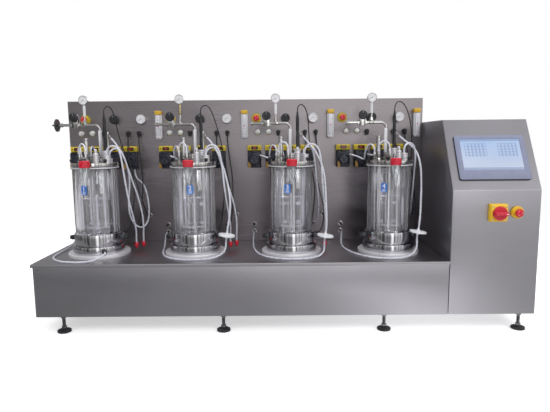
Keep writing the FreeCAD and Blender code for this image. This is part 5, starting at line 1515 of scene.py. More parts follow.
class BIOREACTOR_OT_vessel_glasses(bpy.types.Operator):
    """Blows the jacketed glasses, with a scale and a numbered label on each"""

    bl_idname = "bioreactor.vessel_glasses"
    bl_label = "Vessel Glasses"

    def execute(self, context):
        glass = shared(clear_glass, "vessel_glass")
        foot, top = GLASS_LOW.z - DECK, GLASS_HIGH.z - DECK
        inner = BORE_RADIUS + INNER_WALL
        jacket = GLASS_RADIUS - OUTER_WALL
        slit = inner + 1
        cap = top - 10
        outline = [(BORE_RADIUS, foot), (inner, foot)]
        outline += [(inner, cap - 2), (inner + 0.8, cap - 0.6), (inner + 2, cap)]
        outline += [(jacket - 2, cap), (jacket - 0.8, cap - 0.6), (jacket, cap - 2)]
        outline += [(jacket, foot + 10)]
        outline += [
            (slit + (jacket - slit) * s, foot + OUTER_WALL + 6.5 * (1 - math.sqrt(1 - s * s)))
            for s in (0.9, 0.7, 0.4, 0.0)
        ]
        outline += [(slit, foot)]
        shoulder = 7
        outline += [
            (
                GLASS_RADIUS - shoulder + shoulder * math.sin(math.radians(a)),
                foot + shoulder - shoulder * math.cos(math.radians(a))
            )
            for a in (0, 18, 36, 54, 72, 90)
        ]
        rim = GLASS_RADIUS + 0.8
        outline += [(GLASS_RADIUS, top - BEAD_HEIGHT), (rim, top - BEAD_HEIGHT + 0.8)]
        outline += [(rim, top - 1.2), (rim - 1.2, top)]
        outline += [(BORE_RADIUS + 1, top), (BORE_RADIUS, top - 1)]
        make_copies(
            "glass_blown", [(lathe(outline, 96, closed=True), glass)], at_each_vessel(),
            "vessel_glasses"
        )
        self.make_marks()
        return {"FINISHED"}

    def make_marks(self):
        """A rounded label with the vessel's number, and a scale of plain marks and figures."""
        blue = moulding("label_blue", hue("label"), 0.35, 0.05)
        pale = moulding("print_white", tint("eef2f6"), 0.45, 0.05)
        surface = GLASS_RADIUS + 0.15
        for i, bearing in zip(BAYS, LABEL_BEARINGS):
            axis = drawn_spot(i)
            angle = math.radians(bearing)
            field = bmesh.new()
            for w, h, r, z in ((22, 34, 8, 0.0), (22, 34, 8, 0.3)):
                loop = rounded_rectangle(w, h, r, z, 6)
                field.faces.new([field.verts.new(p) for p in loop])
            bmesh.ops.subdivide_edges(field, edges=field.edges[:], cuts=1)
            number = moved(lettering(str(i + 1), 17, 0.1, 1), at((0, 5, 0.45)))
            bars = row_of_marks("label_bars", 3, (0, -3.4, 0), (12, 1.2, 0.2), pale, look=1)
            moved(bars, at((0, -6, 0.45)))
            label = wrapped(joined(field, number, bars), surface, angle, 247, axis)
            make(f"label_{i + 1}", label, [blue, pale])
        grey = moulding("print_grey", tint("c9ccd2"), 0.45, 0.05)
        scale = bmesh.new()
        for i in BAYS:
            marks = [
                row_of_marks("scale_short", 37, (0, 5, 0), (5, detail("tick"), 0.2), grey),
                row_of_marks("scale_long", 8, (0, 25, 0), (10, detail("tick") * 1.4, 0.2), grey)
            ]
            for k in range(1, 8):
                figure = lettering(str(k), 6, 0.1)
                marks.append(moved(figure, at((10, 25 * k, 0))))
            whole = joined(*marks)
            joined(scale, wrapped(whole, surface, math.radians(SCALE_BEARING), 118, drawn_spot(i)))
        make("glass_scales", scale, [grey])


class BIOREACTOR_OT_vessel_heads(bpy.types.Operator):
    """Makes the head plates, the clamp rings and their hand knobs"""

    bl_idname = "bioreactor.vessel_heads"
    bl_label = "Vessel Heads"

    def execute(self, context):
        radius = radius_of(solids("head_plates")[0])
        low_z, top = HEAD_LOW.z - DECK, HEAD_TOP - DECK
        plate = rod(radius, low_z, top)
        make_copies(
            "heads_turned", [(turned(plate, 1.6, 96), polished())], at_each_vessel(),
            "head_plates"
        )
        ring_low, ring_top = low("clamp_rings").z - DECK, high("clamp_rings").z - DECK
        inner = GLASS_RADIUS + 0.3
        ring = band(inner, radius, ring_low, ring_top)
        make_copies(
            "rings_turned", [(turned(ring, 1.2, 96, closed=True), satin())], at_each_vessel(),
            "clamp_rings"
        )
        self.make_knobs(ring_low, top)
        return {"FINISHED"}

    def make_knobs(self, ring_low, top):
        black = black_moulding()
        boxes = solids("clamp_bolts")
        places = [on_deck(middle_of(b)) for b in boxes]
        end = boxes[0][1].z - DECK
        radius = radius_of(boxes[0])
        knob = turned(
            [
                (0, top), (radius * 0.62, top), (radius * 0.62, top + 4), (radius * 0.94, top + 6),
                (radius * 0.94, end - 2), (radius * 0.6, end), (0, end)
            ],
            1.4, 28
        )
        ribs = ring_of_ribs(
            "knob_ribs", 16, radius * 0.92, (detail("rib"), 1, (end - top) * 0.55),
            top + (end - top) * 0.55, black
        )
        stud = lathe(rod(1.5, ring_low, top + 1), 12)
        make_copies(
            "clamp_knobs", [(joined(knob, ribs), black), (stud, polished())], places,
            "clamp_bolts"
        )


def is_near(value, wanted):
    return abs(value - wanted) < WIDTH_SLACK


class BIOREACTOR_OT_head_ports(bpy.types.Operator):
    """Makes the ports, the condenser, the side arm and the drive plug on each head"""

    bl_idname = "bioreactor.head_ports"
    bl_label = "Head Ports"

    def execute(self, context):
        steel = polished()
        cap = soft_tube("cap_silicone", tint("e6e6ec"), 0.25, 0.3)
        head = HEAD_TOP - DECK
        plain, condensers, plugs, tall = {}, [], [], []
        for box in solids("head_ports"):
            spot = middle_of(box)
            width = box[1].x - box[0].x
            end = box[1].z - DECK
            if is_near(width, PLUG_WIDTH):
                plugs.append(on_deck(spot))
            elif is_near(width, CONDENSER_WIDTH):
                condensers.append(on_deck(spot))
            elif end > TALL_PORT_HEIGHT:
                tall.append((Vector((box[0].x + 8, box[1].y - 8, DECK)), UP))
            else:
                key = (round(box[0].z - DECK, 1), round(end, 1))
                plain.setdefault(key, []).append(on_deck(spot))

        shape = bmesh.new()
        for (dip, end), places in plain.items():
            foot = head + 8
            neck = [
                (0, foot - 1), (4.4, foot - 1), (4.4, foot + 3), (5, foot + 3), (5, end - 8),
                (3.4, end - 8), (3.4, end - 1), (0, end - 1)
            ]
            tube = lathe(rod(3, dip, head), 20)
            flange = turned(rod(8, head, head + 2), 0.6, 32)
            nut = hexagon(13.6, head + 2, foot)
            metal = joined(turned(neck, 0.5, 28), tube, flange, nut)
            rubber = turned([(4.6, end - 9), (4.8, end - 2), (3.6, end), (0, end)], 0.6, 24)
            joined(shape, repeated_parts("ports", [(metal, steel), (rubber, cap)], places))
        joined(shape, self.condensers(condensers, head, steel))
        joined(shape, self.drive_plugs(plugs, head, steel))
        joined(shape, self.tall_ports(tall, head, steel))
        make("head_ports_turned", shape, [steel, cap], "head_ports")
        self.port_collars(head)
        return {"FINISHED"}

    def port_collars(self, head):
        """Grooved collars round three ports and round the probe on each head."""
        whole = bmesh.new()
        steel = shared(turned_steel, "collar_steel", tint("e4e3e8"), 0.22, metallic=0.6)
        for across, behind, bore, radius, tall in COLLARS:
            outline = [(bore, head), (radius, head)]
            level = head + 3
            while level < head + tall - 5:
                outline += [(radius, level), (radius - 1, level + 0.6)]
                outline += [(radius - 1, level + 2), (radius, level + 2.6)]
                level += 7
            outline += [(radius, head + tall), (bore, head + tall)]
            collar = turned(outline, 0.4, 40, True)
            places = at_each_vessel(across, behind)
            joined(whole, repeated_parts("port_collars", [(collar, steel)], places))
        make("port_collars_turned", whole, [steel])

    def condensers(self, places, head, steel):
        """An exhaust condenser: a bright cylinder on a foot, with bands and a dip tube."""
        end = head + 88
        outline = [
            (0, head), (11.5, head), (11.5, head + 8), (8.1, head + 8), (8.1, head + 14),
            (8.5, head + 15), (8.5, end - 14), (8.1, end - 13), (8.1, end - 7), (8.5, end - 6),
            (8.5, end), (0, end)
        ]
        dip = lathe(rod(3, head - 106, head), 20)
        return repeated_parts("condensers", [(joined(turned(outline, 0.9, 40), dip), steel)], places)

    def drive_plugs(self, places, head, steel):
        """The closed centre port under a clamped ferrule."""
        outline = [
            (0, head), (13.6, head), (13.6, head + 9), (17, head + 11), (17, head + 14.5),
            (16.2, head + 15), (16.2, head + 18), (17, head + 18.5), (17, head + 22), (12, head + 25),
            (12, head + 28), (0, head + 28)
        ]
        return repeated_parts("drive_plugs", [(turned(outline, 0.8, 48), steel)], places)

    def tall_ports(self, places, head, steel):
        """A tall port whose side arm slopes down to the right and the front."""
        end = high("head_ports").z - DECK
        outline = [
            (0, head), (8, head), (8, head + 8), (5, head + 8), (5, end - 12), (6.4, end - 11),
            (6.4, end - 2), (5.4, end), (0, end)
        ]
        arm = turned(
            [(0, 2), (3.6, 2), (3.6, 14), (2.8, 15), (3.6, 19), (2.8, 20), (3.6, 23), (2.6, 24), (0, 24)],
            0.3, 24
        )
        moved(arm, at((0, 0, end - 10), (0.683, -0.348, -0.643)))
        nut = hexagon(13.6, head + 1, head + 8.4)
        return repeated_parts("tall_ports", [(joined(turned(outline, 0.7, 32), arm, nut), steel)], places)


class BIOREACTOR_OT_probes(bpy.types.Operator):
    """Makes the pH probes with their caps and gland nuts"""

    bl_idname = "bioreactor.probes"
    bl_label = "Probes"

    def execute(self, context):
        black = black_moulding()
        glass = shared(moulding, "probe_glass", tint("8d949a"), 0.12, 0.02)
        box = solids("ph_probes")
        places = [on_deck(middle_of(b)) for b in box]
        head = HEAD_TOP - DECK
        tip, end = box[0][0].z - DECK, box[0][1].z - DECK
        body = [
            (0, head + 16), (5.4, head + 16), (6, head + 40), (6, head + 92), (5.2, head + 94),
            (5.2, head + 104), (6, head + 106), (6, end - 18), (4.4, end - 15), (3.2, end - 2),
            (3.2, end), (0, end)
        ]
        grips = ring_of_ribs("probe_grips", 14, 5.8, (0.9, 0.6, 34), head + 128, black)
        shaft = turned([(0, tip), (4.5, tip + 1), (6, tip + 6), (6, head + 2), (0, head + 2)], 1, 32)
        gland = joined(
            turned(
                [
                    (0, head), (10, head), (10, head + 5), (8.8, head + 6), (8.8, head + 13),
                    (7.4, head + 17), (0, head + 17)
                ],
                0.8, 40
            ),
            hexagon(17, head + 5.5, head + 11.5)
        )
        make_copies(
            "probes_assembled",
            [(joined(turned(body, 0.9, 32), grips), black), (shaft, glass), (gland, polished())], places,
            "ph_probes"
        )
        return {"FINISHED"}


class BIOREACTOR_OT_exhaust(bpy.types.Operator):
    """Bends the exhaust pipes and makes their valve blocks, knobs and gauges"""

    bl_idname = "bioreactor.exhaust"
    bl_label = "Exhaust Lines"

    def execute(self, context):
        steel = polished()
        head = HEAD_TOP - DECK
        box = solids("exhaust_pipes")[0]
        foot_x = box[1].x - 10
        reach = foot_x - box[0].x
        level = PIPE_LEVEL
        run = pipe([(0, 0, head), (0, 0, level), (-reach, 0, level)], 5, 20, 20)
        foot = joined(turned(rod(10, head, head + 3), 0.7, 32), hexagon(16.8, head + 3, head + 12))
        sleeve = turned(band(5, 6.4, head + 12, head + 24), 0.6, 28)
        end = moved(
            turned(
                [(0, 0), (7.5, 0), (7.5, 3.4), (6.4, 4.4), (6.4, 6.6), (7.5, 7.6), (7.5, 10), (0, 10)],
                0.4, 32
            ),
            at((-reach + 10, 0, level), (-1, 0, 0))
        )
        valve = block(
            (VALVE_PLACE - VALVE_HALF, -VALVE_HALF, level - VALVE_HALF),
            (VALVE_PLACE + VALVE_HALF, VALVE_HALF, level + 39), 1.6, 0, 3
        )
        unions = [
            moved(hexagon(15, -3, 4), at((VALVE_PLACE - VALVE_HALF, 0, level), (-1, 0, 0))),
            moved(hexagon(15, -3, 4), at((VALVE_PLACE + VALVE_HALF, 0, level), (1, 0, 0))),
            moved(turned(band(5, 8, 0, 2), 0.5, 32, True), at((VALVE_PLACE, -11.9, level + 27), FORWARD))
        ]
        tee = joined(
            turned([(0, 0), (6.5, 0), (6.5, 9), (5.6, 15), (0, 15)], 0.8, 28), hexagon(12.6, 8, 14.4)
        )
        moved(tee, at((GAUGE_PLACE, 0, level)))
        collar = moved(turned(band(5, 6.4, -9, 9), 0.6, 28), at((GAUGE_PLACE, 0, level), (1, 0, 0)))
        whole = joined(run, foot, sleeve, end, valve, *unions, tee, collar)
        spots = [
            (Vector((b[1].x - 10, (b[0].y + b[1].y) / 2, DECK)), UP) for b in solids("exhaust_pipes")
        ]
        make_copies("exhaust_bent", [(whole, steel)], spots, "exhaust_pipes")
        # Painted highlight: a white, almost opaque sleeve on each riser stands for the polished pipe's
        # bright reflection.
        sleeve = softened(band(5, 6.4, 369, 460), 1, True)
        silicone = shared(soft_tube, "sleeve_silicone", tint("f4f4f8"), 0.05, 0.25)
        make_copies("exhaust_sleeves", [(lathe(sleeve, 36, True), silicone)], spots, ())
        for i in BAYS:
            node = f"exhaust_valve_knob_{i + 1}"
            make_hand_knob(node, black_moulding(), 28)
        self.make_gauges(level)
        return {"FINISHED"}

    def make_gauges(self, level):
        chrome = chrome_steel()
        white = white_moulding()
        for i, box in enumerate(solids("vessel_gauges")):
            radius = radius_of(box)
            centre = Vector((middle_of(box).x, box[1].y, box[1].z - radius))
            case = dial(radius, box[1].y - box[0].y)
            moved(case, Matrix.Translation(centre) @ FACING_FRONT)
            start = level + 15 + DECK
            sleeve_foot = 515 + DECK
            stem = lathe(rod(2.5, start, sleeve_foot), 20)
            nut = hexagon(8.4, start, start + 5)
            stem = joined(stem, nut)
            end = centre.z - radius + 3
            cover = turned(
                [(0, sleeve_foot), (5, sleeve_foot), (5, end - 8), (4, end - 6), (4, end), (0, end)], 0.7,
                24, look=1 if i != 1 else 4
            )
            # The gauge's stem stands on the pipe's axis, behind the dial's face.
            middle_y = (box[0].y + box[1].y) / 2
            stem = moved(joined(stem, cover), at((centre.x, middle_y, 0)))
            brass = shared(turned_steel, "brass", tint("c4b48a"), 0.18)
            looks = [chrome, white, ink(), red_moulding(), brass]
            make(f"gauge_{i + 1}", joined(case, stem), looks, "vessel_gauges")


def ink():
    return shared(moulding, "ink", tint("23252b"), 0.5, 0.05)


def dial(radius, deep):
    """A round gauge facing up: case 0, face 1, marks and needle 2, and its red mark 3."""
    face = deep - 1.5
    rim = radius - 1.8
    case = turned(
        [
            (0, 0), (radius - 2, 0), (radius - 0.8, 4), (radius - 0.8, deep - 6), (radius, deep - 5),
            (radius, deep - 0.8), (radius - 0.8, deep), (rim, deep), (rim, face)
        ],
        0.7, 56
    )
    plate = lathe([(rim, face), (0, face)], 56, look=1)
    black = ink()
    marks = [
        ring_of_ribs(
            "dial_marks", 31, rim * 0.84, (0.3, 1.1, 0.1), face + 0.05, black, math.radians(270),
            math.radians(-45), look=2
        ),
        ring_of_ribs(
            "dial_long_marks", 7, rim * 0.8, (0.5, 2.2, 0.1), face + 0.05, black, math.radians(270),
            math.radians(-45), look=2
        )
    ]
    for k in range(7):
        angle = math.radians(225 - 45 * k)
        figure = lettering(str(k), 2.1, 0.08, 2)
        reach = rim * 0.58
        marks.append(moved(figure, at((reach * math.cos(angle), reach * math.sin(angle), face + 0.05))))
    limit = block((rim * 0.7, -0.35, face), (rim * 0.95, 0.35, face + 0.15), 0, 3)
    needle = joined(
        block((-rim * 0.25, -0.35, face + 0.2), (rim * 0.78, 0.35, face + 0.5), 0.1, 2),
        turned(rod(1.5, face, face + 0.8), 0.3, 20, look=2)
    )
    moved(needle, Matrix.Rotation(math.radians(212), 4, "Z"))
    return joined(case, plate, *marks, limit, needle)


def make_hand_knob(node, material, ribs):
    """A ribbed round knob that turns on its spindle, facing the front."""
    corner, opposite = box_of(node)
    radius = (opposite.x - corner.x) / 2
    stem = 9
    proud = opposite.y - corner.y - stem
    seat = opposite.y - stem
    middle = (corner + opposite) / 2
    outline = [
        (0, -stem), (4, -stem), (4, 0.3), (radius - 4.5, 0.3), (radius - 1, 5), (radius - 1, proud - 2.4),
        (radius - 3.4, proud - 0.4), (radius - 6, proud - 1), (0, proud - 1)
    ]
    knob = turned(outline, 1.1, 56)
    grip = ring_of_ribs(
        "grip", ribs, radius - 1.1, (radius * 0.12, 1.8, proud - 8.6), 5 + (proud - 7.4) / 2, material
    )
    button = turned(
        [(0, proud - 1.2), (radius * 0.42, proud - 1.2), (radius * 0.42, proud - 0.2), (0, proud)], 0.4,
        40
    )
    mark = block((-0.6, radius * 0.5, proud - 1.1), (0.6, radius * 0.78, proud - 0.7), 0, 1)
    shape = joined(knob, grip, button, mark)
    moved(shape, at((middle.x, seat, middle.z)) @ FACING_FRONT)
    return make(node + "_moulded", shape, [material, white_moulding()], node, body=node)


class BIOREACTOR_OT_samplers(bpy.types.Operator):
    """Makes the sample bottles and their ribbed caps"""

    bl_idname = "bioreactor.samplers"
    bl_label = "Sample Bottles"

    def execute(self, context):
        red = red_moulding()
        boxes = solids("sample_caps")
        places = [(Vector((*middle_of(b).xy, 0)), UP) for b in boxes]
        radius = radius_of(boxes[0])
        foot, top = boxes[0][0].z, boxes[0][1].z
        cap = turned(
            [(0, foot), (radius - 0.8, foot), (radius - 0.8, top - 3), (radius - 3, top), (0, top)], 1.6,
            64
        )
        ribs = ring_of_ribs(
            "cap_ribs", 44, radius - 0.9, (1.1, 0.9, (top - foot) * 0.72), foot + (top - foot) * 0.45, red
        )
        make_copies("caps_moulded", [(joined(cap, ribs), red)], places, "sample_caps")

        plastic = shared(clear_glass, "bottle_clear", (0.93, 0.95, 0.96), 0.05)
        boxes = solids("sample_bottles")
        radius = radius_of(boxes[0])
        foot, top = boxes[0][0].z, boxes[0][1].z
        wall = 1.2
        outer = [
            (radius, top), (radius * 0.94, top - 10), (radius * 0.9, top - 14), (4, foot + 6), (3.4, foot)
        ]
        inner = [(r - wall, z) for r, z in outer]
        outline = outer[::-1] + inner
        bottle = turned(outline, 1.5, 48, closed=True)
        make_copies("bottles_blown", [(bottle, plastic)], places, "sample_bottles")
        return {"FINISHED"}


class BIOREACTOR_OT_filters(bpy.types.Operator):
    """Makes the disc filters in the hoses and the vent filter"""

    bl_idname = "bioreactor.filters"
    bl_label = "Air Filters"

    def execute(self, context):
        white = shared(moulding, "filter_white", tint("e4e5ea"), 0.32, 0.1)
        steel = shared(turned_steel, "vent_steel", tint("77787e"), 0.3)
        discs, vents = [], []
        for corner, opposite in solids("air_filters"):
            if opposite.x - corner.x > 50:
                discs.append((corner + opposite) / 2)
            else:
                vents.append((corner, opposite))
        lean = math.radians(8)
        places = [(spot, (math.sin(lean), 0, math.cos(lean))) for spot in discs]
        half, radius, hub = 3, 30, 6
        disc = turned(
            [
                (0, -half - 10), (3.4, -half - 10), (4.4, -half - 5), (hub, -half - 4),
                (hub, -half + 0.6), (radius - 4, -half + 0.6), (radius - 2.5, -half), (radius, -half),
                (radius, -0.5), (radius - 0.8, 0), (radius, 0.5), (radius, half), (radius - 2.5, half),
                (radius - 4, half - 0.6), (hub, half - 0.6), (hub, half + 4), (4.4, half + 5),
                (3.4, half + 10), (0, half + 10)
            ],
            0.5, 64
        )
        spokes = [
            ring_of_ribs("filter_spokes", 12, radius * 0.52, (1, radius * 0.6, 0.8), z, white)
            for z in (-half + 0.3, half - 0.3)
        ]
        shape = repeated_parts("filters", [(joined(disc, *spokes), white)], places)
        for corner, opposite in vents:
            middle = (corner + opposite) / 2
            length = opposite.x - corner.x
            r = (opposite.y - corner.y) / 2
            stub = 3
            outline = [
                (0, 0), (stub, 0), (stub, 7), (r * 0.55, 7), (r * 0.6, 8), (r * 0.9, 8), (r, 9), (r, 13),
                (r * 0.9, 14.4), (r * 0.6, 14.4), (r * 0.5, 15), (stub, 15), (stub, length), (0, length)
            ]
            vent = turned(outline, 0.7, 48, look=1)
            ribs = ring_of_ribs("vent_ribs", 20, r * 0.97, (2.4, 1.4, 4), 11, steel, look=1)
            moved(joined(vent, ribs), at((opposite.x, middle.y, middle.z), (-1, 0, 0)))
            joined(shape, vent)
        make("filters_moulded", shape, [white, steel], "air_filters")
        return {"FINISHED"}


class BIOREACTOR_OT_stirring(bpy.types.Operator):
    """Finishes the stirrers, the baffle cages and the drives below the deck"""

    bl_idname = "bioreactor.stirring"
    bl_label = "Stirrers and Cages"

    def execute(self, context):
        blades = turned_steel("stirrer_steel", hue("polished"), 0.14)
        cage = turned_steel("cage_steel", hue("polished"), 0.18)
        motor = moulding("motor_paint", tint("3f444d"), 0.45, 0.3)
        for i in BAYS:
            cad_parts[f"stirrer_{i + 1}"].material_slots[0].material = blades
        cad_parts["baffle_cages"].material_slots[0].material = cage
        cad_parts["drive_motors"].material_slots[0].material = motor
        return {"FINISHED"}


# Instrument panel


def on_panel(node, by_foot=False):
    """The places of a node's solids on the panel's face, at each one's middle or its foot."""
    places = []
    for box in solids(node):
        spot = middle_of(box)
        places.append((Vector((spot.x, PANEL_Y, box[0].z if by_foot else spot.z)), FORWARD))
    return places


class BIOREACTOR_OT_pumps(bpy.types.Operator):
    """Makes the peristaltic pump heads and their display fascias"""

    bl_idname = "bioreactor.pumps"
    bl_label = "Pumps"

    def execute(self, context):
        black = shared(moulding, "pump_black", tint("181b2b"), 0.3, 0.15)
        steel = shared(turned_steel, "roller_steel", tint("5c5d66"), 0.3)
        yellow = shared(moulding, "pump_tab", tint("a8823a"), 0.4, 0.1)
        box = solids("pump_bodies")[0]
        width, tall = box[1].x - box[0].x, box[1].z - box[0].z
        proud = box[1].y - box[0].y
        deep = proud - 12
        half = width / 2
        body = joined(
            block((-half, 0, 0), (half, tall, deep * 0.45), 3, 0, 3),
            block((-half + 2, 2, deep * 0.4), (half - 2, tall - 2, deep), 4, 0, 3),
            block((-half, tall * 0.44, deep * 0.3), (-half + 5, tall * 0.56, deep * 0.8), 1, 0, 2),
            block((half - 5, tall * 0.44, deep * 0.3), (half, tall * 0.56, deep * 0.8), 1, 0, 2),
            block((-12, tall - 8, deep - 1), (12, tall - 1.5, deep + 5), 1.4, 0, 2)
        )
        cover = turned(
            [
                (0, deep - 1), (22, deep - 1), (22, deep + 8), (20, proud - 1), (16.5, proud),
                (16, proud - 3), (5, proud - 3), (4.6, proud - 0.5), (0, proud - 0.5)
            ],
            0.9, 48
        )
        moved(cover, at((0, tall / 2, 0)))
        rollers = [
            moved(
                turned(rod(3.4, 0, 2.4), 0.5, 20),
                at(
                    (
                        10.5 * math.cos(math.radians(a)), tall / 2 + 10.5 * math.sin(math.radians(a)),
                        proud - 3.2
                    )
                )
            )
            for a in (90, 210, 330)
        ]
        screws = [
            moved(
                turned([(0, 0), (2.3, 0), (2.1, 1.2), (0, 1.2)], 0.3, 14),
                at((sx * (half - 7), tall / 2 + sy * (tall / 2 - 8), deep - 0.2))
            )
            for sx in (-1, 1) for sy in (-1, 1)
        ]
        tab = block((-half + 2, 2, deep - 1), (-half + 13, 26, deep + 3), 1.2)
        make_copies(
            "pumps_moulded",
            [
                (joined(body, cover), black), (joined(rollers[0], *rollers[1:], *screws), steel),
                (tab, yellow)
            ],
            on_panel("pump_bodies", True), "pump_bodies"
        )
        self.make_fascias(yellow_moulding())
        return {"FINISHED"}

    def make_fascias(self, yellow):
        box = solids("pump_fascias")[0]
        width, proud, tall = box[1] - box[0]
        window = shared(moulding, "window_dark", tint("1a0d10"), 0.15, 0.02)
        digits = shared(lit, "digits_red", tint("d8362c"), 0.7)
        grey = grey_moulding()
        half = width / 2
        shell = block((-half, 0, 0), (half, tall, proud - 1), 1.8, 0, 3)
        ledge = block((-half + 1.5, 1.5, proud - 2.4), (half - 1.5, tall - 1.5, proud), 0.8, 0, 2)
        pane = block((-half + 15, 4, proud - 1), (half - 13, tall - 4, proud + 0.02), 0.3, 0, 1)
        number = moved(lettering("000", 5.6, 0.1), at((1, tall / 2, proud + 0.08)))
        keys = [
            block((x - 2.8, tall / 2 - 2.8, proud - 0.4), (x + 2.8, tall / 2 + 2.8, proud), 0.5, 0, 2)
            for x in (-half + 8, half - 7)
        ]
        make_copies(
            "fascias_moulded",
            [(joined(shell, ledge), yellow), (pane, window), (number, digits), (joined(*keys), grey)],
            on_panel("pump_fascias", True), "pump_fascias"
        )


class BIOREACTOR_OT_rotameters(bpy.types.Operator):
    """Makes the gas flow meters with their scales, floats and needle valves"""

    bl_idname = "bioreactor.rotameters"
    bl_label = "Flow Meters"

    def execute(self, context):
        box = solids("rotameters")[0]
        width, proud, tall = box[1] - box[0]
        half = width / 2
        body = shared(soft_tube, "meter_acrylic", tint("e4e4ea"), 0.12, 0.15)
        yellow = shared(moulding, "meter_cap", tint("cfa52e"), 0.35, 0.1)
        black = ink()
        shell = joined(
            block((-half, 6, 0), (half, tall - 15, proud * 0.72), 2, 0, 3),
            block((-half + 5, 14, proud * 0.6), (half - 5, tall - 17, proud), 3, 0, 3),
            block((-half + 3, 0, 2), (half - 3, 8, proud - 4), 1.5, 0, 2)
        )
        knob = joined(
            moved(turned([(0, 0), (6, 0), (6, 7), (4.5, 8), (0, 8)], 0.8, 28), at((0, 9, proud - 8.4)))
        )
        marks = [
            row_of_marks("meter_scale", 15, (0, 4.4, 0), (4, 0.45, 0.15), black),
            row_of_marks("meter_long", 4, (0, 17.6, 0), (7, 0.6, 0.15), black)
        ]
        scale = moved(joined(*marks), at((0, 22, proud)))
        figures = [
            moved(lettering(str(k), 3.4, 0.1), at((5.4, 22 + 17.6 * k, proud - 0.02)))
            for k in range(1, 4)
        ]
        float_ball = moved(
            turned([(0, 0), (3, 1), (3.4, 4), (1.4, 6), (0, 6)], 0.8, 20),
            at((0, 48, proud - 1.5)) @ Matrix.Rotation(math.radians(-90), 4, "X")
        )
        cap = block((-half, tall - 16, 0), (half, tall, proud), 2.4, 0, 3)
        make_copies(
            "meters_moulded",
            [
                (joined(shell, knob), body), (cap, yellow), (joined(scale, *figures), black),
                (float_ball, red_moulding())
            ],
            on_panel("rotameters", True), "rotameters"
        )
        return {"FINISHED"}


class BIOREACTOR_OT_panel_controls(bpy.types.Operator):
    """Makes the station buttons, the regulators, the panel gauges and the pilot domes"""

    bl_idname = "bioreactor.panel_controls"
    bl_label = "Panel Controls"

    def execute(self, context):
        self.make_buttons()
        for i in BAYS:
            make_hand_knob(f"regulator_knob_{i + 1}", black_moulding(), 32)
        chrome = chrome_steel()
        looks = [chrome, white_moulding(), ink(), red_moulding()]
        boxes = solids("panel_gauges")
        gauges = bmesh.new()
        for box in boxes:
            radius = radius_of(box)
            spot = middle_of(box)
            case = dial(radius, box[1].y - box[0].y)
            joined(gauges, moved(case, at((spot.x, PANEL_Y, spot.z)) @ FACING_FRONT))
        make("panel_gauges_turned", gauges, looks, "panel_gauges")
        self.make_domes(chrome)
        return {"FINISHED"}

    def make_buttons(self):
        yellow = yellow_moulding()
        green = shared(moulding, "legend_green", tint("4d7a3a"), 0.4, 0.05)
        box = solids("station_button_collars")[0]
        radius = radius_of(box)
        proud = box[1].y - box[0].y
        plate = turned(band(4.5, radius, 0, 3), 0.6, 48, True)
        arc = ring_of_ribs(
            "legend_arc", 24, radius - 2, (2.4, 2.2, 0.2), 3.1, green, math.radians(150), math.radians(15)
        )
        ring = turned(
            [
                (4.5, 2), (radius * 0.8, 2), (radius * 0.8, proud * 0.6), (radius * 0.74, proud),
                (4.5, proud)
            ],
            1, 48, True
        )
        make_copies(
            "station_collars", [(joined(plate, ring), yellow), (arc, green)],
            on_panel("station_button_collars"), "station_button_collars"
        )
        for i, box in zip(BAYS, solids("station_button_collars")):
            make_mushroom(f"station_button_{i + 1}", box[0].y)

    def make_domes(self, chrome):
        box = solids("pilot_domes")[0]
        radius = radius_of(box)
        proud = box[1].y - box[0].y
        lens = shared(soft_tube, "lens_pale", tint("d9dad8"), 0.15, 0.12)
        outline = [(0, 2), (radius - 2, 2), (radius - 2, 4)]
        rise = proud - 4
        outline += [
            ((radius - 2) * math.cos(math.radians(a)), 4 + rise * math.sin(math.radians(a)))
            for a in (15, 30, 45, 60, 75)
        ]
        outline.append((0, proud))
        dome = lathe(outline, 40)
        rings = ring_of_ribs("lens_ribs", 24, radius - 2.1, (0.8, 0.6, 2), 3.4, lens)
        bezel = turned(
            [(radius - 3, 0), (radius, 0), (radius, 2.2), (radius - 2, 4), (radius - 3, 4)], 0.6, 40, True
        )
        make_copies(
            "domes_moulded", [(joined(dome, rings), lens), (bezel, chrome)], on_panel("pilot_domes"),
            "pilot_domes"
        )


def make_mushroom(node, collar_face):
    """A red push button head with its stem, sliding in its collar."""
    corner, opposite = box_of(node)
    middle = (corner + opposite) / 2
    radius = (opposite.x - corner.x) / 2
    face = collar_face - corner.y
    stem = opposite.y - collar_face
    gap = face * 0.36
    outline = [
        (0, -stem), (4, -stem), (4, gap), (radius * 0.92, gap + 0.4), (radius, gap + (face - gap) * 0.4),
        (radius * 0.84, face * 0.92), (0, face)
    ]
    head = turned(outline, 1.8, 48)
    arrows = ring_of_ribs(
        "button_marks", 3, radius * 0.55, (3.4, 1.2, 0.5), face * 0.955, white_moulding(), look=1
    )
    shape = joined(head, arrows)
    moved(shape, at((middle.x, collar_face, middle.z)) @ FACING_FRONT)
    make(node + "_head", shape, [red_moulding(), white_moulding()], node, body=node)


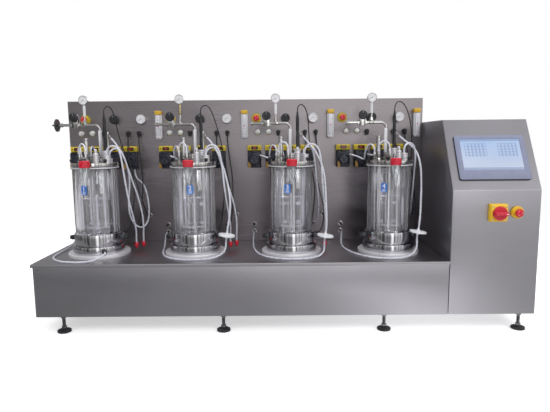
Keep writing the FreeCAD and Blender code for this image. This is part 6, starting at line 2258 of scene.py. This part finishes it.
class BIOREACTOR_OT_panel_fittings(bpy.types.Operator):
    """Makes the cable sockets and the hose barbs on the panel"""

    bl_idname = "bioreactor.panel_fittings"
    bl_label = "Sockets and Barbs"

    def execute(self, context):
        black = black_moulding()
        steel = polished()
        box = solids("cable_sockets")[0]
        radius = radius_of(box)
        proud = box[1].y - box[0].y
        centre = box[1].z - radius
        drop = centre - box[0].z
        nose = turned(
            [
                (0, 0), (radius, 0), (radius, 5), (radius * 0.9, 6), (radius * 0.9, proud - 4),
                (radius * 0.6, proud), (0, proud)
            ],
            1.2, 36
        )
        ribs = ring_of_ribs("socket_ribs", 16, radius * 0.9, (1.4, 1.2, 7), 11, black)
        down = moved(
            turned([(0, 0), (6, 0), (6, drop - 5), (4.6, drop - 1), (4.6, drop), (0, drop)], 0.7, 28),
            at((0, 0, proud - 7), (0, -1, 0))
        )
        nut = hexagon(radius * 1.7, 0, 3.4)
        places = [
            (Vector((p.x, p.y, b[1].z - radius)), w) for (p, w),
            b in zip(on_panel("cable_sockets"), solids("cable_sockets"))
        ]
        make_copies(
            "sockets_moulded", [(joined(nose, ribs, down), black), (nut, steel)], places,
            "cable_sockets"
        )
        box = solids("panel_barbs")[0]
        proud = box[1].y - box[0].y
        barb = turned(
            [
                (0, 5), (6, 5), (6, 12), (4.8, 12.4), (6, 15.4), (4.6, 15.8), (5.6, 19), (4.2, 19.4),
                (4.8, 22.4), (3.4, proud), (0, proud)
            ],
            0.3, 32
        )
        nut = joined(hexagon(16.4, 0, 5), turned(rod(9.6, 0, 1.6), 0.4, 36))
        make_copies(
            "barbs_moulded", [(barb, black), (nut, steel)], on_panel("panel_barbs"),
            "panel_barbs"
        )
        return {"FINISHED"}


# Panel in the sidebar, and the order of work

PIECES = (
    BIOREACTOR_OT_stage, BIOREACTOR_OT_hoses, BIOREACTOR_OT_cables, BIOREACTOR_OT_sheet_metal,
    BIOREACTOR_OT_touch_screen, BIOREACTOR_OT_switches, BIOREACTOR_OT_feet, BIOREACTOR_OT_vessel_bases,
    BIOREACTOR_OT_vessel_glasses, BIOREACTOR_OT_vessel_heads, BIOREACTOR_OT_head_ports,
    BIOREACTOR_OT_probes, BIOREACTOR_OT_exhaust, BIOREACTOR_OT_samplers, BIOREACTOR_OT_filters,
    BIOREACTOR_OT_stirring, BIOREACTOR_OT_pumps, BIOREACTOR_OT_rotameters, BIOREACTOR_OT_panel_controls,
    BIOREACTOR_OT_panel_fittings
)


class BIOREACTOR_PT_sidebar(bpy.types.Panel):
    """Lists the colours, the sizes and the pieces of the bioreactor"""

    bl_idname = "BIOREACTOR_PT_sidebar"
    bl_label = "Bench Bioreactor"
    bl_space_type = "VIEW_3D"
    bl_region_type = "UI"
    bl_category = "Bioreactor"

    def draw(self, context):
        layout = self.layout
        for group in (context.scene.bioreactor_colours, context.scene.bioreactor_sizes):
            column = layout.column(align=True)
            for name in group.bl_rna.properties.keys():
                if name not in ("rna_type", "name"):
                    column.prop(group, name)
        column = layout.column(align=True)
        for piece in PIECES:
            column.operator(piece.bl_idname)


CLASSES = (BioreactorColours, BioreactorSizes, *PIECES, BIOREACTOR_PT_sidebar)


def register():
    for cls in CLASSES:
        bpy.utils.register_class(cls)
    bpy.types.Scene.bioreactor_colours = bpy.props.PointerProperty(type=BioreactorColours)
    bpy.types.Scene.bioreactor_sizes = bpy.props.PointerProperty(type=BioreactorSizes)


def unregister():
    del bpy.types.Scene.bioreactor_sizes
    del bpy.types.Scene.bioreactor_colours
    for cls in reversed(CLASSES):
        bpy.utils.unregister_class(cls)


def main():
    register()
    for piece in PIECES:
        group, name = piece.bl_idname.split(".")
        getattr(getattr(bpy.ops, group), name)()


if __name__ == "__main__":
    main()
